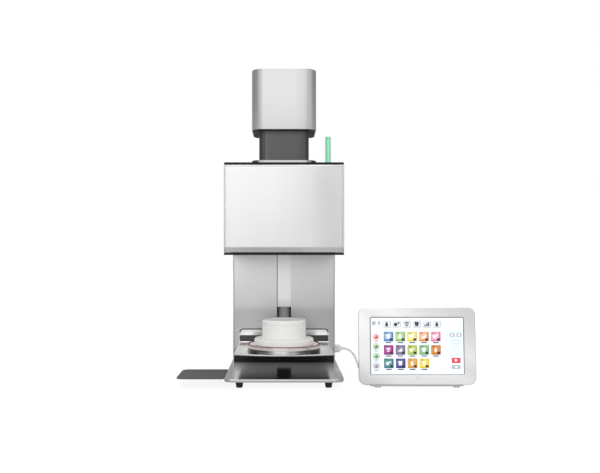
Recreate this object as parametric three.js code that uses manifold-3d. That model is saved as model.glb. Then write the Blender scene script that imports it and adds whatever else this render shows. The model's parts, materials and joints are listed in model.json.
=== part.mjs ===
// A dental lab furnace that fires and presses ceramics, in millimetres, with +Z up.
// The furnace is worked out about the axis of its round firing chamber, which is x = 0, y = 0, with the
// bench at z = 0 and the front towards -Y. At the end the whole group is moved so that its origin is the
// middle of the footprint, on the bench.
import * as THREE from "three";
import { mergeVertices } from "three/addons/utils/BufferGeometryUtils.js";
import Module from "manifold-3d";

const wasm = await Module();
wasm.setup();

// Clearances that several pieces share
const seatGap = 0.3; // between pieces that stand or hang on each other
const runningGap = 0.4; // between a sliding or turning piece and its guide
const overrun = 3; // how far a cutter runs past the material that it cuts

// Faces round a full circle
const wideSides = 48;
const roundSides = 24;
const smallSides = 16;

// Feet and base plate
const foot = { height: 12.7, topRadius: 8, soleRadius: 6, edge: 1, sideInset: 29, frontInset: 23, rearInset: 22 };
const base = { thickness: 6, frontReach: 8, cornerWidth: 17.5, cornerDepth: 23, edge: 0.8 };

// Head and column: one housing of two side plates with sheets between them
const housing = {
  width: 230,
  sideSheet: 2.5,
  sheet: 2,
  clearHeight: 236.1, // from the base plate to the underside of the head
  headHeight: 177.3,
  columnSetback: 250, // from the head's front to the column's front
  rearRoom: 122, // from the column's front to the back
  chamberSetback: 115, // from the head's front to the chamber's axis
};
const topPlate = { thickness: 3.6, frontInset: 4, rodHole: 4, pressHole: 12 };
const bottomPlate = { thickness: 4.2, frontInset: 6, notchDepth: 8 };
const frontPanel = { upperBend: 4.5, lowerBend: 9.5, lip: 7.5 };
const slot = { width: 32, foot: 31, height: 250 };
const louvre = { width: 70, height: 4, pitch: 10, rows: 9, top: 34, columnGap: 20 };

// Firing chamber
const chamber = {
  boreRadius: 63,
  insulationRadius: 89.7,
  wallHeight: 105.7,
  lidHeight: 33.7,
  potWall: 2,
  potFlange: 8,
  potFlangeHeight: 3,
};
const element = { tubeRadius: 4, pitch: 11, turns: 7, foot: 20, leadBend: 7.3, pocketGap: 1.8 };
const probe = { radius: 2.5, offset: 38, tipHeight: 92.5, headRadius: 7, headHeight: 10 };
const pipe = { radius: 5, bore: 4, offset: 55, setback: 40, rise: 14, bend: 11 };
const port = { flangeRadius: 12, flange: 3, nippleRadius: 4.6, nippleLength: 16, bore: 2.6, barb: 0.8 };

// Lift
const guide = { tubeRadius: 13, tubeBore: 10, setback: 20, spindleSetback: 58, spindleRadius: 5 };
const motor = { side: 42, height: 32, cornerCut: 4, bossRadius: 11, boss: 0.4, socketDepth: 9 };
const bracket = { leg: 6, plate: 6, sideGap: 1, reach: 22, upperHeight: 12 };
const carriage = {
  wall: 4.6,
  height: 77,
  webWidth: 26,
  webHeight: 26,
  lugWidth: 30,
  lugHeight: 16,
  lugWall: 6,
  restGap: 2, // above the lower bracket, when the lift is down
};
const nut = { radius: 8.6, flangeRadius: 13, flange: 4 };
const liftPlate = { width: 201, thickness: 2.5, height: 57, frontReach: 63, bow: 18, flange: 31.9, corner: 8 };
const table = { radius: 77, height: 14.2, stepRadius: 75, grooveRadius: 73, stepShare: 0.43, groove: 2, edge: 0.8 };
const ring = { radius: 2, inset: 3, proud: 1.2 };
const plinth = { flangeRadius: 61, flangeHeight: 12.7, radius: 45, height: 50.2, edge: 4 };
const cap = { height: 8.7, recessRadius: 29, recess: 1.4, pinRadius: 1.6, pinOffset: 33.5, pinDepth: 4, edge: 0.6 };

// Press tower
const tower = { width: 129, depth: 118, corner: 20, height: 120.6, wall: 2.5, edge: 2, floor: 3 };
const collar = { height: 10.8, shadow: 1.8, shadowInset: 3, hole: 24 };
const neck = { width: 100, depth: 90, corner: 11, height: 60.6, wall: 2.5 };
const press = {
  stroke: 45,
  rodRadius: 4,
  rodOffset: 32,
  plate: 6,
  plateWidth: 96,
  plateDepth: 42,
  motorHeight: 34,
  spindleRadius: 4,
  spindleReach: 86,
  crossWidth: 84,
  crossDepth: 28,
  cross: 10,
  ramRadius: 9,
  cup: 12,
  plungerRadius: 6,
  headroom: 6,
};
const light = { radius: 5.5, sideInset: 24, height: 66, cap: 4.4, grooveDepth: 0.6, groove: 1, edge: 1 };
const lightSocket = { radius: 8.5, height: 4, floor: 0.7, edge: 1 };

// Cooling tray on the left
const tray = { width: 92, depth: 107, thickness: 2, corner: 12, frontInset: 5, sideGap: 0.6 };
const strip = { thickness: 2.6, inner: 18, outer: 47, depth: 34, frontInset: 38 };

// Mains inlet and switch in the rear cover
const inlet = { width: 30, height: 24, depth: 20, lip: 3, flange: 2.2, wall: 3, cavity: 15, centre: 62, lift: 40 };
const pin = { width: 2, height: 4, length: 9, root: 1, spread: 7, rise: 3 };
const rocker = { radius: 11, width: 14, proud: 7, dip: 5, tail: 3, tiltDeg: 10, spacing: 34, depth: 16, wall: 2.5 };

// Control board on the left side plate
const board = { depth: 96, height: 150, thickness: 1.6, standoff: 8, inset: 14, lift: 80 };
const heatSink = { depth: 40, height: 60, reach: 22, fins: 6, fin: 2.4, foot: 3 };

// Touch panel and its stand
const panel = {
  width: 226,
  height: 148.6,
  thickness: 18,
  frame: 6,
  corner: 14,
  leanDeg: 5,
  gap: 28.9, // from the housing's side to the panel
  frontInset: 8,
  wall: 2.5,
  back: 4,
  edge: 1,
};
const screen = { width: 179, height: 109, thickness: 2, fit: 0.3, ledge: 4 };
const button = { radius: 4, height: 13.5, flangeRadius: 5.4, flange: 1.2, proud: 0.8 };
const stand = { width: 180, depth: 92, thickness: 2, padHeight: 2.7, padRadius: 6, padInset: 14, frontInset: 3 };
const upright = { width: 64, sheet: 3, hingeHeight: 62, hingeBehind: 12, barrelRadius: 6, pinRadius: 2.5, setback: 30 };
const knuckle = { width: 14, root: 1, sideGap: 0.4 };
const inletBox = { width: 22, height: 14, depth: 18, offset: 42.4, bore: 3.4 };

// Cable between the column and the stand
const cable = { diameter: 4.8, sides: 8, restHeight: 2.5 };
const plug = { length: 14.7, height: 17, depth: 17, corner: 3, lift: 22.7, setback: 15, tip: 4, tipShare: 0.55 };
const socket = { side: 20, depth: 14, key: 10, keyDepth: 4 };
const farPlug = { length: 16, radius: 5.5, tip: 5, tipShare: 0.6 };
const coil = { turns: 4, outerRadius: 32.4, pitch: 5.4, layer: 5.3, stepsPerTurn: 24, sides: 6 };
// Hand-chosen route of the cable: straight out of the plug, down in one curve and along the bench to the coil.
const cableRoute = [
  [138, 150, 41.5],
  [147.9, 150, 37.9],
  [155.8, 149.8, 31.6],
  [161.6, 148.8, 22.8],
  [165.2, 145.6, 13.9],
  [167, 139.4, 7],
  [167.4, 130.6, 3.4],
  [167.6, 121, 2.5],
  [169.2, 110.5, 2.5],
  [174, 100.4, 2.5],
  [181.4, 91.4, 2.5],
  [188.6, 83.4, 2.5],
  [193.6, 76.4, 2.5],
];
const coilCentre = [228, 62];
const tailRoute = [
  [196.4, 48, 7.9],
  [199.4, 38, 8.7],
  [204.6, 28.8, 9.9],
  [210.4, 20.6, 11.2],
];

// Levels and places that follow from the sizes above
const halfWidth = housing.width / 2;
const baseUnder = foot.height + seatGap;
const baseTop = baseUnder + base.thickness;
const headUnder = baseTop + housing.clearHeight;
const headTop = headUnder + housing.headHeight;
const shellLow = headUnder + bottomPlate.thickness + seatGap;
const shellHigh = headTop - topPlate.thickness - seatGap;
const frontY = -housing.chamberSetback;
const columnY = frontY + housing.columnSetback;
const rearY = columnY + housing.rearRoom;
const betweenSides = halfWidth - housing.sideSheet - seatGap;
const lightX = halfWidth - light.sideInset;
const potFoot = headUnder + bottomPlate.thickness + seatGap;
const lidFoot = potFoot + chamber.wallHeight;
const lidTop = lidFoot + seatGap + chamber.lidHeight;
const potInner = chamber.insulationRadius + seatGap;
const potTop = lidTop + seatGap + chamber.potWall;
const guideY = columnY + guide.setback;
const spindleY = columnY + guide.spindleSetback;
const motorTop = baseTop + seatGap + motor.height;
const bracketTop = motorTop + motor.boss + seatGap + bracket.plate;
const tableFoot = liftPlate.height + seatGap;
const tableTop = tableFoot + table.height;
const sealTop = tableTop + ring.proud;
const liftTravel = headUnder - seatGap - sealTop;
const collarFoot = headTop + seatGap;
const neckFoot = collarFoot + collar.height + seatGap;
const towerFoot = neckFoot + neck.height + seatGap;
const towerTop = towerFoot + tower.height;
const floorTop = towerFoot + tower.floor;

// Geometry helpers

/** A closed mesh as a solid for joining and cutting. */
function solid(shape) {
  if (!shape.isBufferGeometry) return shape;
  const bare = shape.clone();
  bare.deleteAttribute("normal");
  bare.deleteAttribute("uv");
  const merged = mergeVertices(bare, 1e-4);
  return new wasm.Manifold(
    new wasm.Mesh({
      numProp: 3,
      vertProperties: merged.attributes.position.array,
      triVerts: new Uint32Array(merged.index.array),
    }),
  );
}

function join(first, ...others) {
  return others.reduce((whole, other) => whole.add(solid(other)), solid(first));
}

function cut(first, ...cutters) {
  return cutters.reduce((whole, cutter) => whole.subtract(solid(cutter)), solid(first));
}

/** A solid, or a geometry as it is, as the geometry of a mesh. */
function surface(shape) {
  if (shape.isBufferGeometry) return shape;
  const mesh = shape.getMesh();
  const geometry = new THREE.BufferGeometry();
  geometry.setAttribute("position", new THREE.BufferAttribute(mesh.vertProperties, 3));
  geometry.setIndex(new THREE.BufferAttribute(mesh.triVerts, 1));
  geometry.computeVertexNormals();
  return geometry;
}

function block(x0, x1, y0, y1, z0, z1) {
  return new THREE.BoxGeometry(x1 - x0, y1 - y0, z1 - z0).translate((x0 + x1) / 2, (y0 + y1) / 2, (z0 + z1) / 2);
}

function rodZ(radius, z0, z1, x = 0, y = 0, sides = roundSides) {
  return new THREE.CylinderGeometry(radius, radius, z1 - z0, sides).rotateX(Math.PI / 2).translate(x, y, (z0 + z1) / 2);
}

function rodY(radius, y0, y1, x, z, sides = roundSides) {
  return new THREE.CylinderGeometry(radius, radius, y1 - y0, sides).translate(x, (y0 + y1) / 2, z);
}

function rodX(radius, x0, x1, y, z, sides = roundSides) {
  return new THREE.CylinderGeometry(radius, radius, x1 - x0, sides).rotateZ(Math.PI / 2).translate((x0 + x1) / 2, y, z);
}

/** A profile of [radius, height] points turned about the Z axis. It closes on itself, or ends on the axis. */
function revolve(profile, sides = wideSides) {
  const closed = [...profile, profile[0]];
  const area = profile.reduce((sum, [r, z], i) => sum + r * closed[i + 1][1] - closed[i + 1][0] * z, 0);
  const onAxis = profile[0][0] === 0 && profile.at(-1)[0] === 0;
  const outline = onAxis ? profile : closed;
  const points = outline.map(([r, z]) => new THREE.Vector2(r, z));
  return new THREE.LatheGeometry(area > 0 ? points : points.reverse(), sides).rotateX(Math.PI / 2);
}

function shapeOf(points) {
  return new THREE.Shape(points.map((p) => (p.isVector2 ? p : new THREE.Vector2(...p))));
}

function extrudeZ(outline, z0, z1, bevel = 0) {
  const shape = outline instanceof THREE.Shape ? outline : shapeOf(outline);
  const options = {
    depth: z1 - z0 - 2 * bevel,
    bevelEnabled: bevel > 0,
    bevelThickness: bevel,
    bevelSize: bevel,
    bevelOffset: -bevel,
    bevelSegments: 1,
    curveSegments: 8,
  };
  return new THREE.ExtrudeGeometry(shape, options).translate(0, 0, z0 + bevel);
}

/** An outline given in x and z, carried along Y. */
function extrudeY(outline, y0, y1, bevel = 0) {
  return extrudeZ(outline, 0, y1 - y0, bevel).rotateX(Math.PI / 2).translate(0, y1, 0);
}

/** An outline given in y and z, carried along X. */
function extrudeX(outline, x0, x1) {
  const turn = new THREE.Matrix4().makeBasis(
    new THREE.Vector3(0, 1, 0),
    new THREE.Vector3(0, 0, 1),
    new THREE.Vector3(1, 0, 0),
  );
  return extrudeZ(outline, 0, x1 - x0).applyMatrix4(turn).translate(x0, 0, 0);
}

/** A rectangle with round corners about the given middle, anticlockwise. */
function roundedOutline(width, height, radius, x = 0, y = 0, steps = 6) {
  const corners = [
    [1, 1],
    [-1, 1],
    [-1, -1],
    [1, -1],
  ];
  return corners.flatMap(([sx, sy], corner) =>
    Array.from({ length: steps + 1 }, (_, i) => {
      const angle = ((corner + i / steps) * Math.PI) / 2;
      return new THREE.Vector2(
        x + sx * (width / 2 - radius) + radius * Math.cos(angle),
        y + sy * (height / 2 - radius) + radius * Math.sin(angle),
      );
    }),
  );
}

/** Outlines of equally many points at rising heights, joined by walls and closed at both ends. */
function loft(layers) {
  const count = layers[0].outline.length;
  const positions = layers.flatMap(({ outline, z }) => outline.flatMap((p) => [p.x, p.y, z]));
  const faces = [];
  for (let layer = 0; layer + 1 < layers.length; layer++) {
    for (let i = 0; i < count; i++) {
      const a = layer * count + i;
      const b = layer * count + ((i + 1) % count);
      faces.push(a, b, b + count, a, b + count, a + count);
    }
  }
  const last = (layers.length - 1) * count;
  for (const [a, b, c] of THREE.ShapeUtils.triangulateShape(layers[0].outline, [])) faces.push(a, c, b);
  for (const [a, b, c] of THREE.ShapeUtils.triangulateShape(layers.at(-1).outline, [])) {
    faces.push(last + a, last + b, last + c);
  }
  const geometry = new THREE.BufferGeometry();
  geometry.setAttribute("position", new THREE.Float32BufferAttribute(positions, 3));
  geometry.setIndex(faces);
  geometry.computeVertexNormals();
  return geometry;
}

/** A round-cornered block whose top edge is rounded over: outlines drawn in along a quarter circle. */
function roundedBlock(width, depth, corner, z0, z1, edge) {
  const turns = [0, 1, 2, 3].map((k) => (k * Math.PI) / 6);
  const rim = turns.map((turn) => {
    const inset = edge * (1 - Math.cos(turn));
    const outline = roundedOutline(width - 2 * inset, depth - 2 * inset, corner - inset);
    return { outline, z: z1 - edge + edge * Math.sin(turn) };
  });
  return loft([{ outline: roundedOutline(width, depth, corner), z: z0 }, ...rim]);
}

/** A line of [a, b] points with the sheet's thickness to its left, with mitred corners. */
function foldedSheet(line, thickness) {
  const points = line.map((p) => new THREE.Vector2(...p));
  const normals = points.slice(1).map((p, i) => {
    const along = p.clone().sub(points[i]).normalize();
    return new THREE.Vector2(-along.y, along.x);
  });
  const inner = points.map((p, i) => {
    const before = normals[Math.max(i - 1, 0)];
    const after = normals[Math.min(i, normals.length - 1)];
    const mitre = before.clone().add(after).normalize();
    return p.clone().addScaledVector(mitre, thickness / mitre.dot(after));
  });
  return [...points, ...inner.reverse()];
}

/** A tube of flat-sided section along points that never run in the direction of up, closed at both ends. */
function woundTube(points, radius, sides, up = new THREE.Vector3(0, 0, 1)) {
  const positions = [];
  const faces = [];
  points.forEach((point, i) => {
    const along = points[Math.min(i + 1, points.length - 1)].clone().sub(points[Math.max(i - 1, 0)]).normalize();
    const side = along.clone().cross(up).normalize();
    const over = side.clone().cross(along);
    for (let k = 0; k < sides; k++) {
      const angle = (2 * Math.PI * k) / sides;
      const corner = point.clone();
      corner.addScaledVector(side, radius * Math.cos(angle)).addScaledVector(over, radius * Math.sin(angle));
      positions.push(corner.x, corner.y, corner.z);
    }
  });
  for (let i = 0; i + 1 < points.length; i++) {
    for (let k = 0; k < sides; k++) {
      const a = i * sides + k;
      const b = i * sides + ((k + 1) % sides);
      faces.push(a, b + sides, b, a, a + sides, b + sides);
    }
  }
  const last = (points.length - 1) * sides;
  for (let k = 1; k + 1 < sides; k++) {
    faces.push(0, k, k + 1, last, last + k + 1, last + k);
  }
  const geometry = new THREE.BufferGeometry();
  geometry.setAttribute("position", new THREE.Float32BufferAttribute(positions, 3));
  geometry.setIndex(faces);
  geometry.computeVertexNormals();
  return geometry;
}

/** The least gap that a wound tube keeps to itself, over points further apart than three diameters along it. */
function leastGap(points, diameter) {
  const along = [0];
  points.slice(1).forEach((p, i) => along.push(along[i] + p.distanceTo(points[i])));
  let least = Infinity;
  points.forEach((p, i) => {
    for (let j = i + 1; j < points.length; j++) {
      if (along[j] - along[i] > 3 * diameter) least = Math.min(least, p.distanceTo(points[j]));
    }
  });
  return least - diameter;
}

/** A free tube along a smooth curve through the points, as an extruded section. */
function freeTube(points, radius, sides, step) {
  const curve = new THREE.CatmullRomCurve3(points.map((p) => (p.isVector3 ? p : new THREE.Vector3(...p))));
  const section = Array.from({ length: sides }, (_, i) => {
    const angle = (2 * Math.PI * i) / sides;
    return new THREE.Vector2(radius * Math.cos(angle), radius * Math.sin(angle));
  });
  const steps = Math.ceil(curve.getLength() / step);
  const geometry = new THREE.ExtrudeGeometry(shapeOf(section), { steps, bevelEnabled: false, extrudePath: curve });
  return { geometry, length: curve.getLength() };
}

const furnace = new THREE.Group();

function addPiece(name, shape, [colour, roughness, metalness], parent = furnace) {
  const material = new THREE.MeshStandardMaterial({ color: colour, roughness, metalness });
  const mesh = new THREE.Mesh(surface(shape), material);
  mesh.name = name;
  parent.add(mesh);
  return mesh;
}

// Finishes: colour, roughness, metalness
const brushedSteel = [0xc9c8c4, 0.32, 1];
const polishedSteel = [0xd6d6d4, 0.12, 1];
const paleLacquer = [0xdfdedb, 0.4, 0.55];
const blackLacquer = [0x1c1c1e, 0.5, 0.1];
const anthracite = [0x57585c, 0.5, 0.3];
const rubber = [0x161616, 0.85, 0];
const castSteel = [0x8f9193, 0.45, 0.9];
const ceramicFibre = [0xeeeae2, 0.9, 0];
const quartz = [0xdcd6cc, 0.3, 0];
const brass = [0xb99a55, 0.35, 1];
const sealRed = [0x8c4a3c, 0.6, 0];
const blackPlastic = [0x222326, 0.55, 0];
const palePlastic = [0xd9d9d8, 0.5, 0];
const cablePlastic = [0xdcdcda, 0.5, 0];
const greenAcrylic = [0x9fe6c2, 0.2, 0];
const screenGlass = [0xe6edf6, 0.08, 0];
const boardGreen = [0x2c5a3c, 0.6, 0];

// Feet

const footX = halfWidth - foot.sideInset;
const footFrontY = frontY - base.frontReach + foot.frontInset;
const footRearY = rearY - foot.rearInset;
const footPlaces = {
  foot_front_left: [-footX, footFrontY],
  foot_front_right: [footX, footFrontY],
  foot_rear_left: [-footX, footRearY],
  foot_rear_right: [footX, footRearY],
};
for (const [name, [x, y]] of Object.entries(footPlaces)) {
  const profile = [
    [0, 0],
    [foot.soleRadius - foot.edge, 0],
    [foot.soleRadius, foot.edge],
    [foot.topRadius, foot.height],
    [0, foot.height],
  ];
  addPiece(name, revolve(profile, smallSides), rubber).position.set(x, y, 0);
}

// Base plate: straight sides, and a front that curves in towards its corners

const baseFrontY = frontY - base.frontReach;
const baseOutline = new THREE.Shape();
baseOutline.moveTo(-halfWidth, rearY);
baseOutline.lineTo(-halfWidth, baseFrontY + base.cornerDepth);
baseOutline.quadraticCurveTo(-halfWidth, baseFrontY, -halfWidth + base.cornerWidth, baseFrontY);
baseOutline.lineTo(halfWidth - base.cornerWidth, baseFrontY);
baseOutline.quadraticCurveTo(halfWidth, baseFrontY, halfWidth, baseFrontY + base.cornerDepth);
baseOutline.lineTo(halfWidth, rearY);
addPiece("base_plate", extrudeZ(baseOutline, baseUnder, baseTop, base.edge), polishedSteel);

// Side plates: one sheet each for head and column, with the front panel's bends at the head's front edge

const sideFoot = baseTop + seatGap;
const sideOutline = [
  [rearY, sideFoot],
  [rearY, shellHigh],
  [frontY + topPlate.frontInset, shellHigh],
  [frontY, shellHigh - frontPanel.upperBend],
  [frontY, shellLow + frontPanel.lowerBend],
  [frontY + bottomPlate.frontInset, shellLow],
  [columnY, shellLow],
  [columnY, sideFoot],
];
const plugY = columnY + plug.setback;
const plugZ = baseTop + plug.lift;
const socketHole = block(
  halfWidth - housing.sideSheet - overrun,
  halfWidth + overrun,
  plugY - socket.side / 2 - seatGap,
  plugY + socket.side / 2 + seatGap,
  plugZ - socket.side / 2 - seatGap,
  plugZ + socket.side / 2 + seatGap,
);
addPiece("side_plate_left", extrudeX(sideOutline, -halfWidth, -halfWidth + housing.sideSheet), paleLacquer);
addPiece(
  "side_plate_right",
  cut(extrudeX(sideOutline, halfWidth - housing.sideSheet, halfWidth), socketHole),
  paleLacquer,
);

// Front panel of the head: a sheet folded along four lines

const frontLine = [
  [frontY + bottomPlate.frontInset + frontPanel.lip, shellLow],
  [frontY + bottomPlate.frontInset, shellLow],
  [frontY, shellLow + frontPanel.lowerBend],
  [frontY, shellHigh - frontPanel.upperBend],
  [frontY + topPlate.frontInset, shellHigh],
  [frontY + topPlate.frontInset + frontPanel.lip, shellHigh],
].reverse();
addPiece("head_front_panel", extrudeX(foldedSheet(frontLine, housing.sheet), -betweenSides, betweenSides), brushedSteel);

// Column front with the slot that the lift's carriage runs in

const slotLow = sideFoot + slot.foot;
const slotOutline = roundedOutline(slot.width, slot.height, slot.width / 2 - seatGap, 0, slotLow + slot.height / 2);
const pipeZ = potTop + pipe.rise;
const columnInner = columnY + housing.sheet;
const columnHoles = [
  extrudeY(slotOutline, columnY - overrun, columnInner + overrun),
  rodY(pipe.radius + 1.5 * runningGap, columnY - overrun, columnInner + overrun, pipe.offset, pipeZ),
];
addPiece(
  "column_front",
  cut(block(-betweenSides, betweenSides, columnY, columnInner, sideFoot, shellHigh), ...columnHoles),
  brushedSteel,
);

// Rear cover with air slots, and the holes for the inlet, the switch and the vacuum port

const coverInner = rearY - housing.sheet;
const inletZ = sideFoot + inlet.lift;
const inletX = -inlet.centre;
const rockerX = inletX + rocker.spacing;
const rockerHole = 2 * (rocker.radius + rocker.wall + seatGap);
const coverHoles = [
  extrudeY(roundedOutline(inlet.width, inlet.height, inlet.wall, inletX, inletZ), coverInner - overrun, rearY + overrun),
  block(
    rockerX - rocker.width / 2 - rocker.wall - seatGap,
    rockerX + rocker.width / 2 + rocker.wall + seatGap,
    coverInner - overrun,
    rearY + overrun,
    inletZ - rockerHole / 2,
    inletZ + rockerHole / 2,
  ),
  rodY(port.flangeRadius / 2 + seatGap, coverInner - overrun, rearY + overrun, pipe.offset, pipeZ),
];
for (let row = 0; row < louvre.rows; row++) {
  const z = shellHigh - louvre.top - row * louvre.pitch;
  for (const side of [-1, 1]) {
    const x = (side * (louvre.width + louvre.columnGap)) / 2;
    const outline = roundedOutline(louvre.width, louvre.height, louvre.height / 2, x, z, 2);
    coverHoles.push(extrudeY(outline, coverInner - overrun, rearY + overrun));
  }
}
addPiece(
  "rear_cover",
  cut(block(-betweenSides, betweenSides, coverInner, rearY, sideFoot, shellHigh), ...coverHoles),
  paleLacquer,
);

// Black plates above and below the head

const topPlateFront = frontY + topPlate.frontInset;
const topPlateMiddle = (topPlateFront + rearY) / 2;
const topOutline = roundedOutline(housing.width, rearY - topPlateFront, topPlate.thickness, 0, topPlateMiddle, 3);
addPiece(
  "head_top_plate",
  cut(
    extrudeZ(topOutline, headTop - topPlate.thickness, headTop),
    rodZ(topPlate.pressHole, headTop - topPlate.thickness - overrun, headTop + overrun),
    rodZ(topPlate.rodHole, headTop - topPlate.thickness - overrun, headTop + overrun, lightX, 0, smallSides),
  ),
  blackLacquer,
);

const bottomFront = frontY + bottomPlate.frontInset;
const bottomRear = columnY - seatGap;
addPiece(
  "head_bottom_plate",
  cut(
    block(-halfWidth, halfWidth, bottomFront, bottomRear, headUnder, headUnder + bottomPlate.thickness),
    rodZ(chamber.boreRadius, headUnder - overrun, potFoot + overrun, 0, 0, wideSides),
    block(
      -liftPlate.width / 2 - overrun,
      liftPlate.width / 2 + overrun,
      bottomRear - bottomPlate.notchDepth,
      bottomRear + overrun,
      headUnder - overrun,
      potFoot + overrun,
    ),
  ),
  blackLacquer,
);

// Chamber: insulation ring and lid in a steel pot

const leadZ = [potFoot + element.foot, potFoot + element.foot + element.pitch * element.turns];
const windRadius = chamber.boreRadius - seatGap - element.tubeRadius;
const leadBore = element.tubeRadius + element.pocketGap;
const insulationRing = revolve([
  [chamber.boreRadius, potFoot],
  [chamber.insulationRadius, potFoot],
  [chamber.insulationRadius, lidFoot],
  [chamber.boreRadius, lidFoot],
]);
addPiece(
  "insulation_ring",
  cut(insulationRing, ...leadZ.map((z) => rodX(leadBore, windRadius, potInner + overrun, 0, z, smallSides))),
  ceramicFibre,
);
addPiece(
  "insulation_lid",
  cut(
    rodZ(chamber.insulationRadius, lidFoot + seatGap, lidTop, 0, 0, wideSides),
    rodZ(press.plungerRadius + 2 * runningGap, lidFoot - overrun, lidTop + overrun, 0, 0, smallSides),
    rodZ(probe.radius + seatGap, lidFoot - overrun, lidTop + overrun, -probe.offset, 0, smallSides),
  ),
  ceramicFibre,
);
const potOuter = potInner + chamber.potWall;
const potShell = revolve([
  [potInner, potFoot],
  [potOuter + chamber.potFlange, potFoot],
  [potOuter + chamber.potFlange, potFoot + chamber.potFlangeHeight],
  [potOuter, potFoot + chamber.potFlangeHeight],
  [potOuter, potTop],
  [press.plungerRadius + runningGap, potTop],
  [press.plungerRadius + runningGap, potTop - chamber.potWall],
  [potInner, potTop - chamber.potWall],
]);
addPiece(
  "chamber_pot",
  cut(
    potShell,
    rodZ(probe.radius + seatGap, lidTop - overrun, potTop + overrun, -probe.offset, 0, smallSides),
    rodZ(pipe.bore, lidTop - overrun, potTop + overrun, pipe.offset, pipe.setback, smallSides),
  ),
  castSteel,
);

// Heating element: one unbroken winding against the insulation ring, whose two leads turn outwards through it

/** Points of a lead: straight inwards at the given height, then a quarter circle into the winding's direction. */
function leadPoints(z, turn) {
  const start = Math.sqrt(windRadius ** 2 - element.leadBend ** 2);
  const bend = Array.from({ length: 5 }, (_, i) => {
    const angle = (i * Math.PI) / 8;
    return new THREE.Vector3(
      start + element.leadBend * (1 - Math.sin(angle)),
      turn * element.leadBend * (1 - Math.cos(angle)),
      z,
    );
  });
  return [new THREE.Vector3(potInner - seatGap, 0, z), ...bend];
}

const bendAngle = Math.asin(element.leadBend / windRadius);
const windSteps = element.turns * 24;
const winding = Array.from({ length: windSteps - 1 }, (_, i) => {
  const share = (i + 1) / windSteps;
  const angle = bendAngle + share * (2 * Math.PI * element.turns - 2 * bendAngle);
  const z = THREE.MathUtils.lerp(leadZ[0], leadZ[1], share);
  return new THREE.Vector3(windRadius * Math.cos(angle), windRadius * Math.sin(angle), z);
});
const elementPoints = [...leadPoints(leadZ[0], 1), ...winding, ...leadPoints(leadZ[1], -1).reverse()];
addPiece("heating_element", woundTube(elementPoints, element.tubeRadius, 6), quartz);
console.log(`heating_element: least gap to itself ${leastGap(elementPoints, 2 * element.tubeRadius).toFixed(2)} mm`);

const probeTip = potFoot + probe.tipHeight;
const probeProfile = [
  [0, probeTip],
  [probe.radius * Math.SQRT1_2, probeTip + probe.radius * (1 - Math.SQRT1_2)],
  [probe.radius, probeTip + probe.radius],
  [probe.radius, potTop + seatGap],
  [probe.headRadius, potTop + seatGap],
  [probe.headRadius, potTop + probe.headHeight],
  [0, potTop + probe.headHeight],
];
addPiece("thermocouple", revolve(probeProfile, smallSides), quartz).position.set(-probe.offset, 0, 0);

// Vacuum pipe from the pot's lid to the port in the rear cover

const pipeBend = [0, 1, 2, 3, 4].map((k) => {
  const angle = (k * Math.PI) / 8;
  return [pipe.offset, pipe.setback + pipe.bend * (1 - Math.cos(angle)), pipeZ - pipe.bend * (1 - Math.sin(angle))];
});
const pipeEnd = coverInner - port.flange;
const pipePoints = [[pipe.offset, pipe.setback, potTop + seatGap], ...pipeBend, [pipe.offset, pipeEnd - seatGap, pipeZ]];
addPiece(
  "vacuum_pipe",
  woundTube(pipePoints.map((p) => new THREE.Vector3(...p)), pipe.radius, 12, new THREE.Vector3(1, 0, 0)),
  castSteel,
);

const portFace = rearY + seatGap;
const portTip = portFace + port.flange + port.nippleLength;
const portProfile = [
  [port.bore, pipeEnd],
  [port.flangeRadius / 2, pipeEnd],
  [port.flangeRadius / 2, portFace],
  [port.flangeRadius, portFace],
  [port.flangeRadius, portFace + port.flange],
  [port.nippleRadius, portFace + port.flange],
  ...[0.5, 0.75, 1].flatMap((share) => {
    const barbY = portFace + port.flange + port.nippleLength * share;
    return [
      [port.nippleRadius, barbY - 3 * port.barb],
      [port.nippleRadius + port.barb, barbY - 3 * port.barb],
      [port.nippleRadius - port.barb / 2, barbY],
    ];
  }),
  [port.bore, portTip],
];
addPiece(
  "vacuum_port",
  revolve(portProfile, smallSides).rotateX(-Math.PI / 2).translate(pipe.offset, 0, pipeZ),
  castSteel,
);

// Lift drive in the column: motor, brackets, guide tube and spindle

const bracketHalf = motor.side / 2 + bracket.sideGap + bracket.leg;
const bracketY0 = guideY - guide.tubeRadius - seatGap;
const bracketY1 = spindleY + bracket.reach;
const motorLow = baseTop + seatGap;
const motorOutline = roundedOutline(motor.side, motor.side, motor.cornerCut, 0, spindleY, 1);
addPiece(
  "lift_motor",
  cut(
    join(
      extrudeZ(motorOutline, motorLow, motorTop),
      rodZ(motor.bossRadius, motorTop - overrun, motorTop + motor.boss, 0, spindleY),
    ),
    rodZ(guide.spindleRadius + runningGap, motorTop - motor.socketDepth, motorTop + overrun, 0, spindleY, smallSides),
  ),
  blackLacquer,
);
const bracketProfile = [
  [bracketHalf, motorLow],
  [bracketHalf, bracketTop],
  [-bracketHalf, bracketTop],
  [-bracketHalf, motorLow],
  [-bracketHalf + bracket.leg, motorLow],
  [-bracketHalf + bracket.leg, bracketTop - bracket.plate],
  [bracketHalf - bracket.leg, bracketTop - bracket.plate],
  [bracketHalf - bracket.leg, motorLow],
];
addPiece(
  "guide_bracket_lower",
  cut(
    extrudeY(bracketProfile, bracketY0, bracketY1),
    rodZ(guide.spindleRadius + runningGap, motorTop, bracketTop + overrun, 0, spindleY, smallSides),
    rodZ(guide.tubeBore, motorTop, bracketTop + overrun, 0, guideY),
  ),
  castSteel,
);
const upperLow = shellHigh - bracket.upperHeight;
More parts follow.
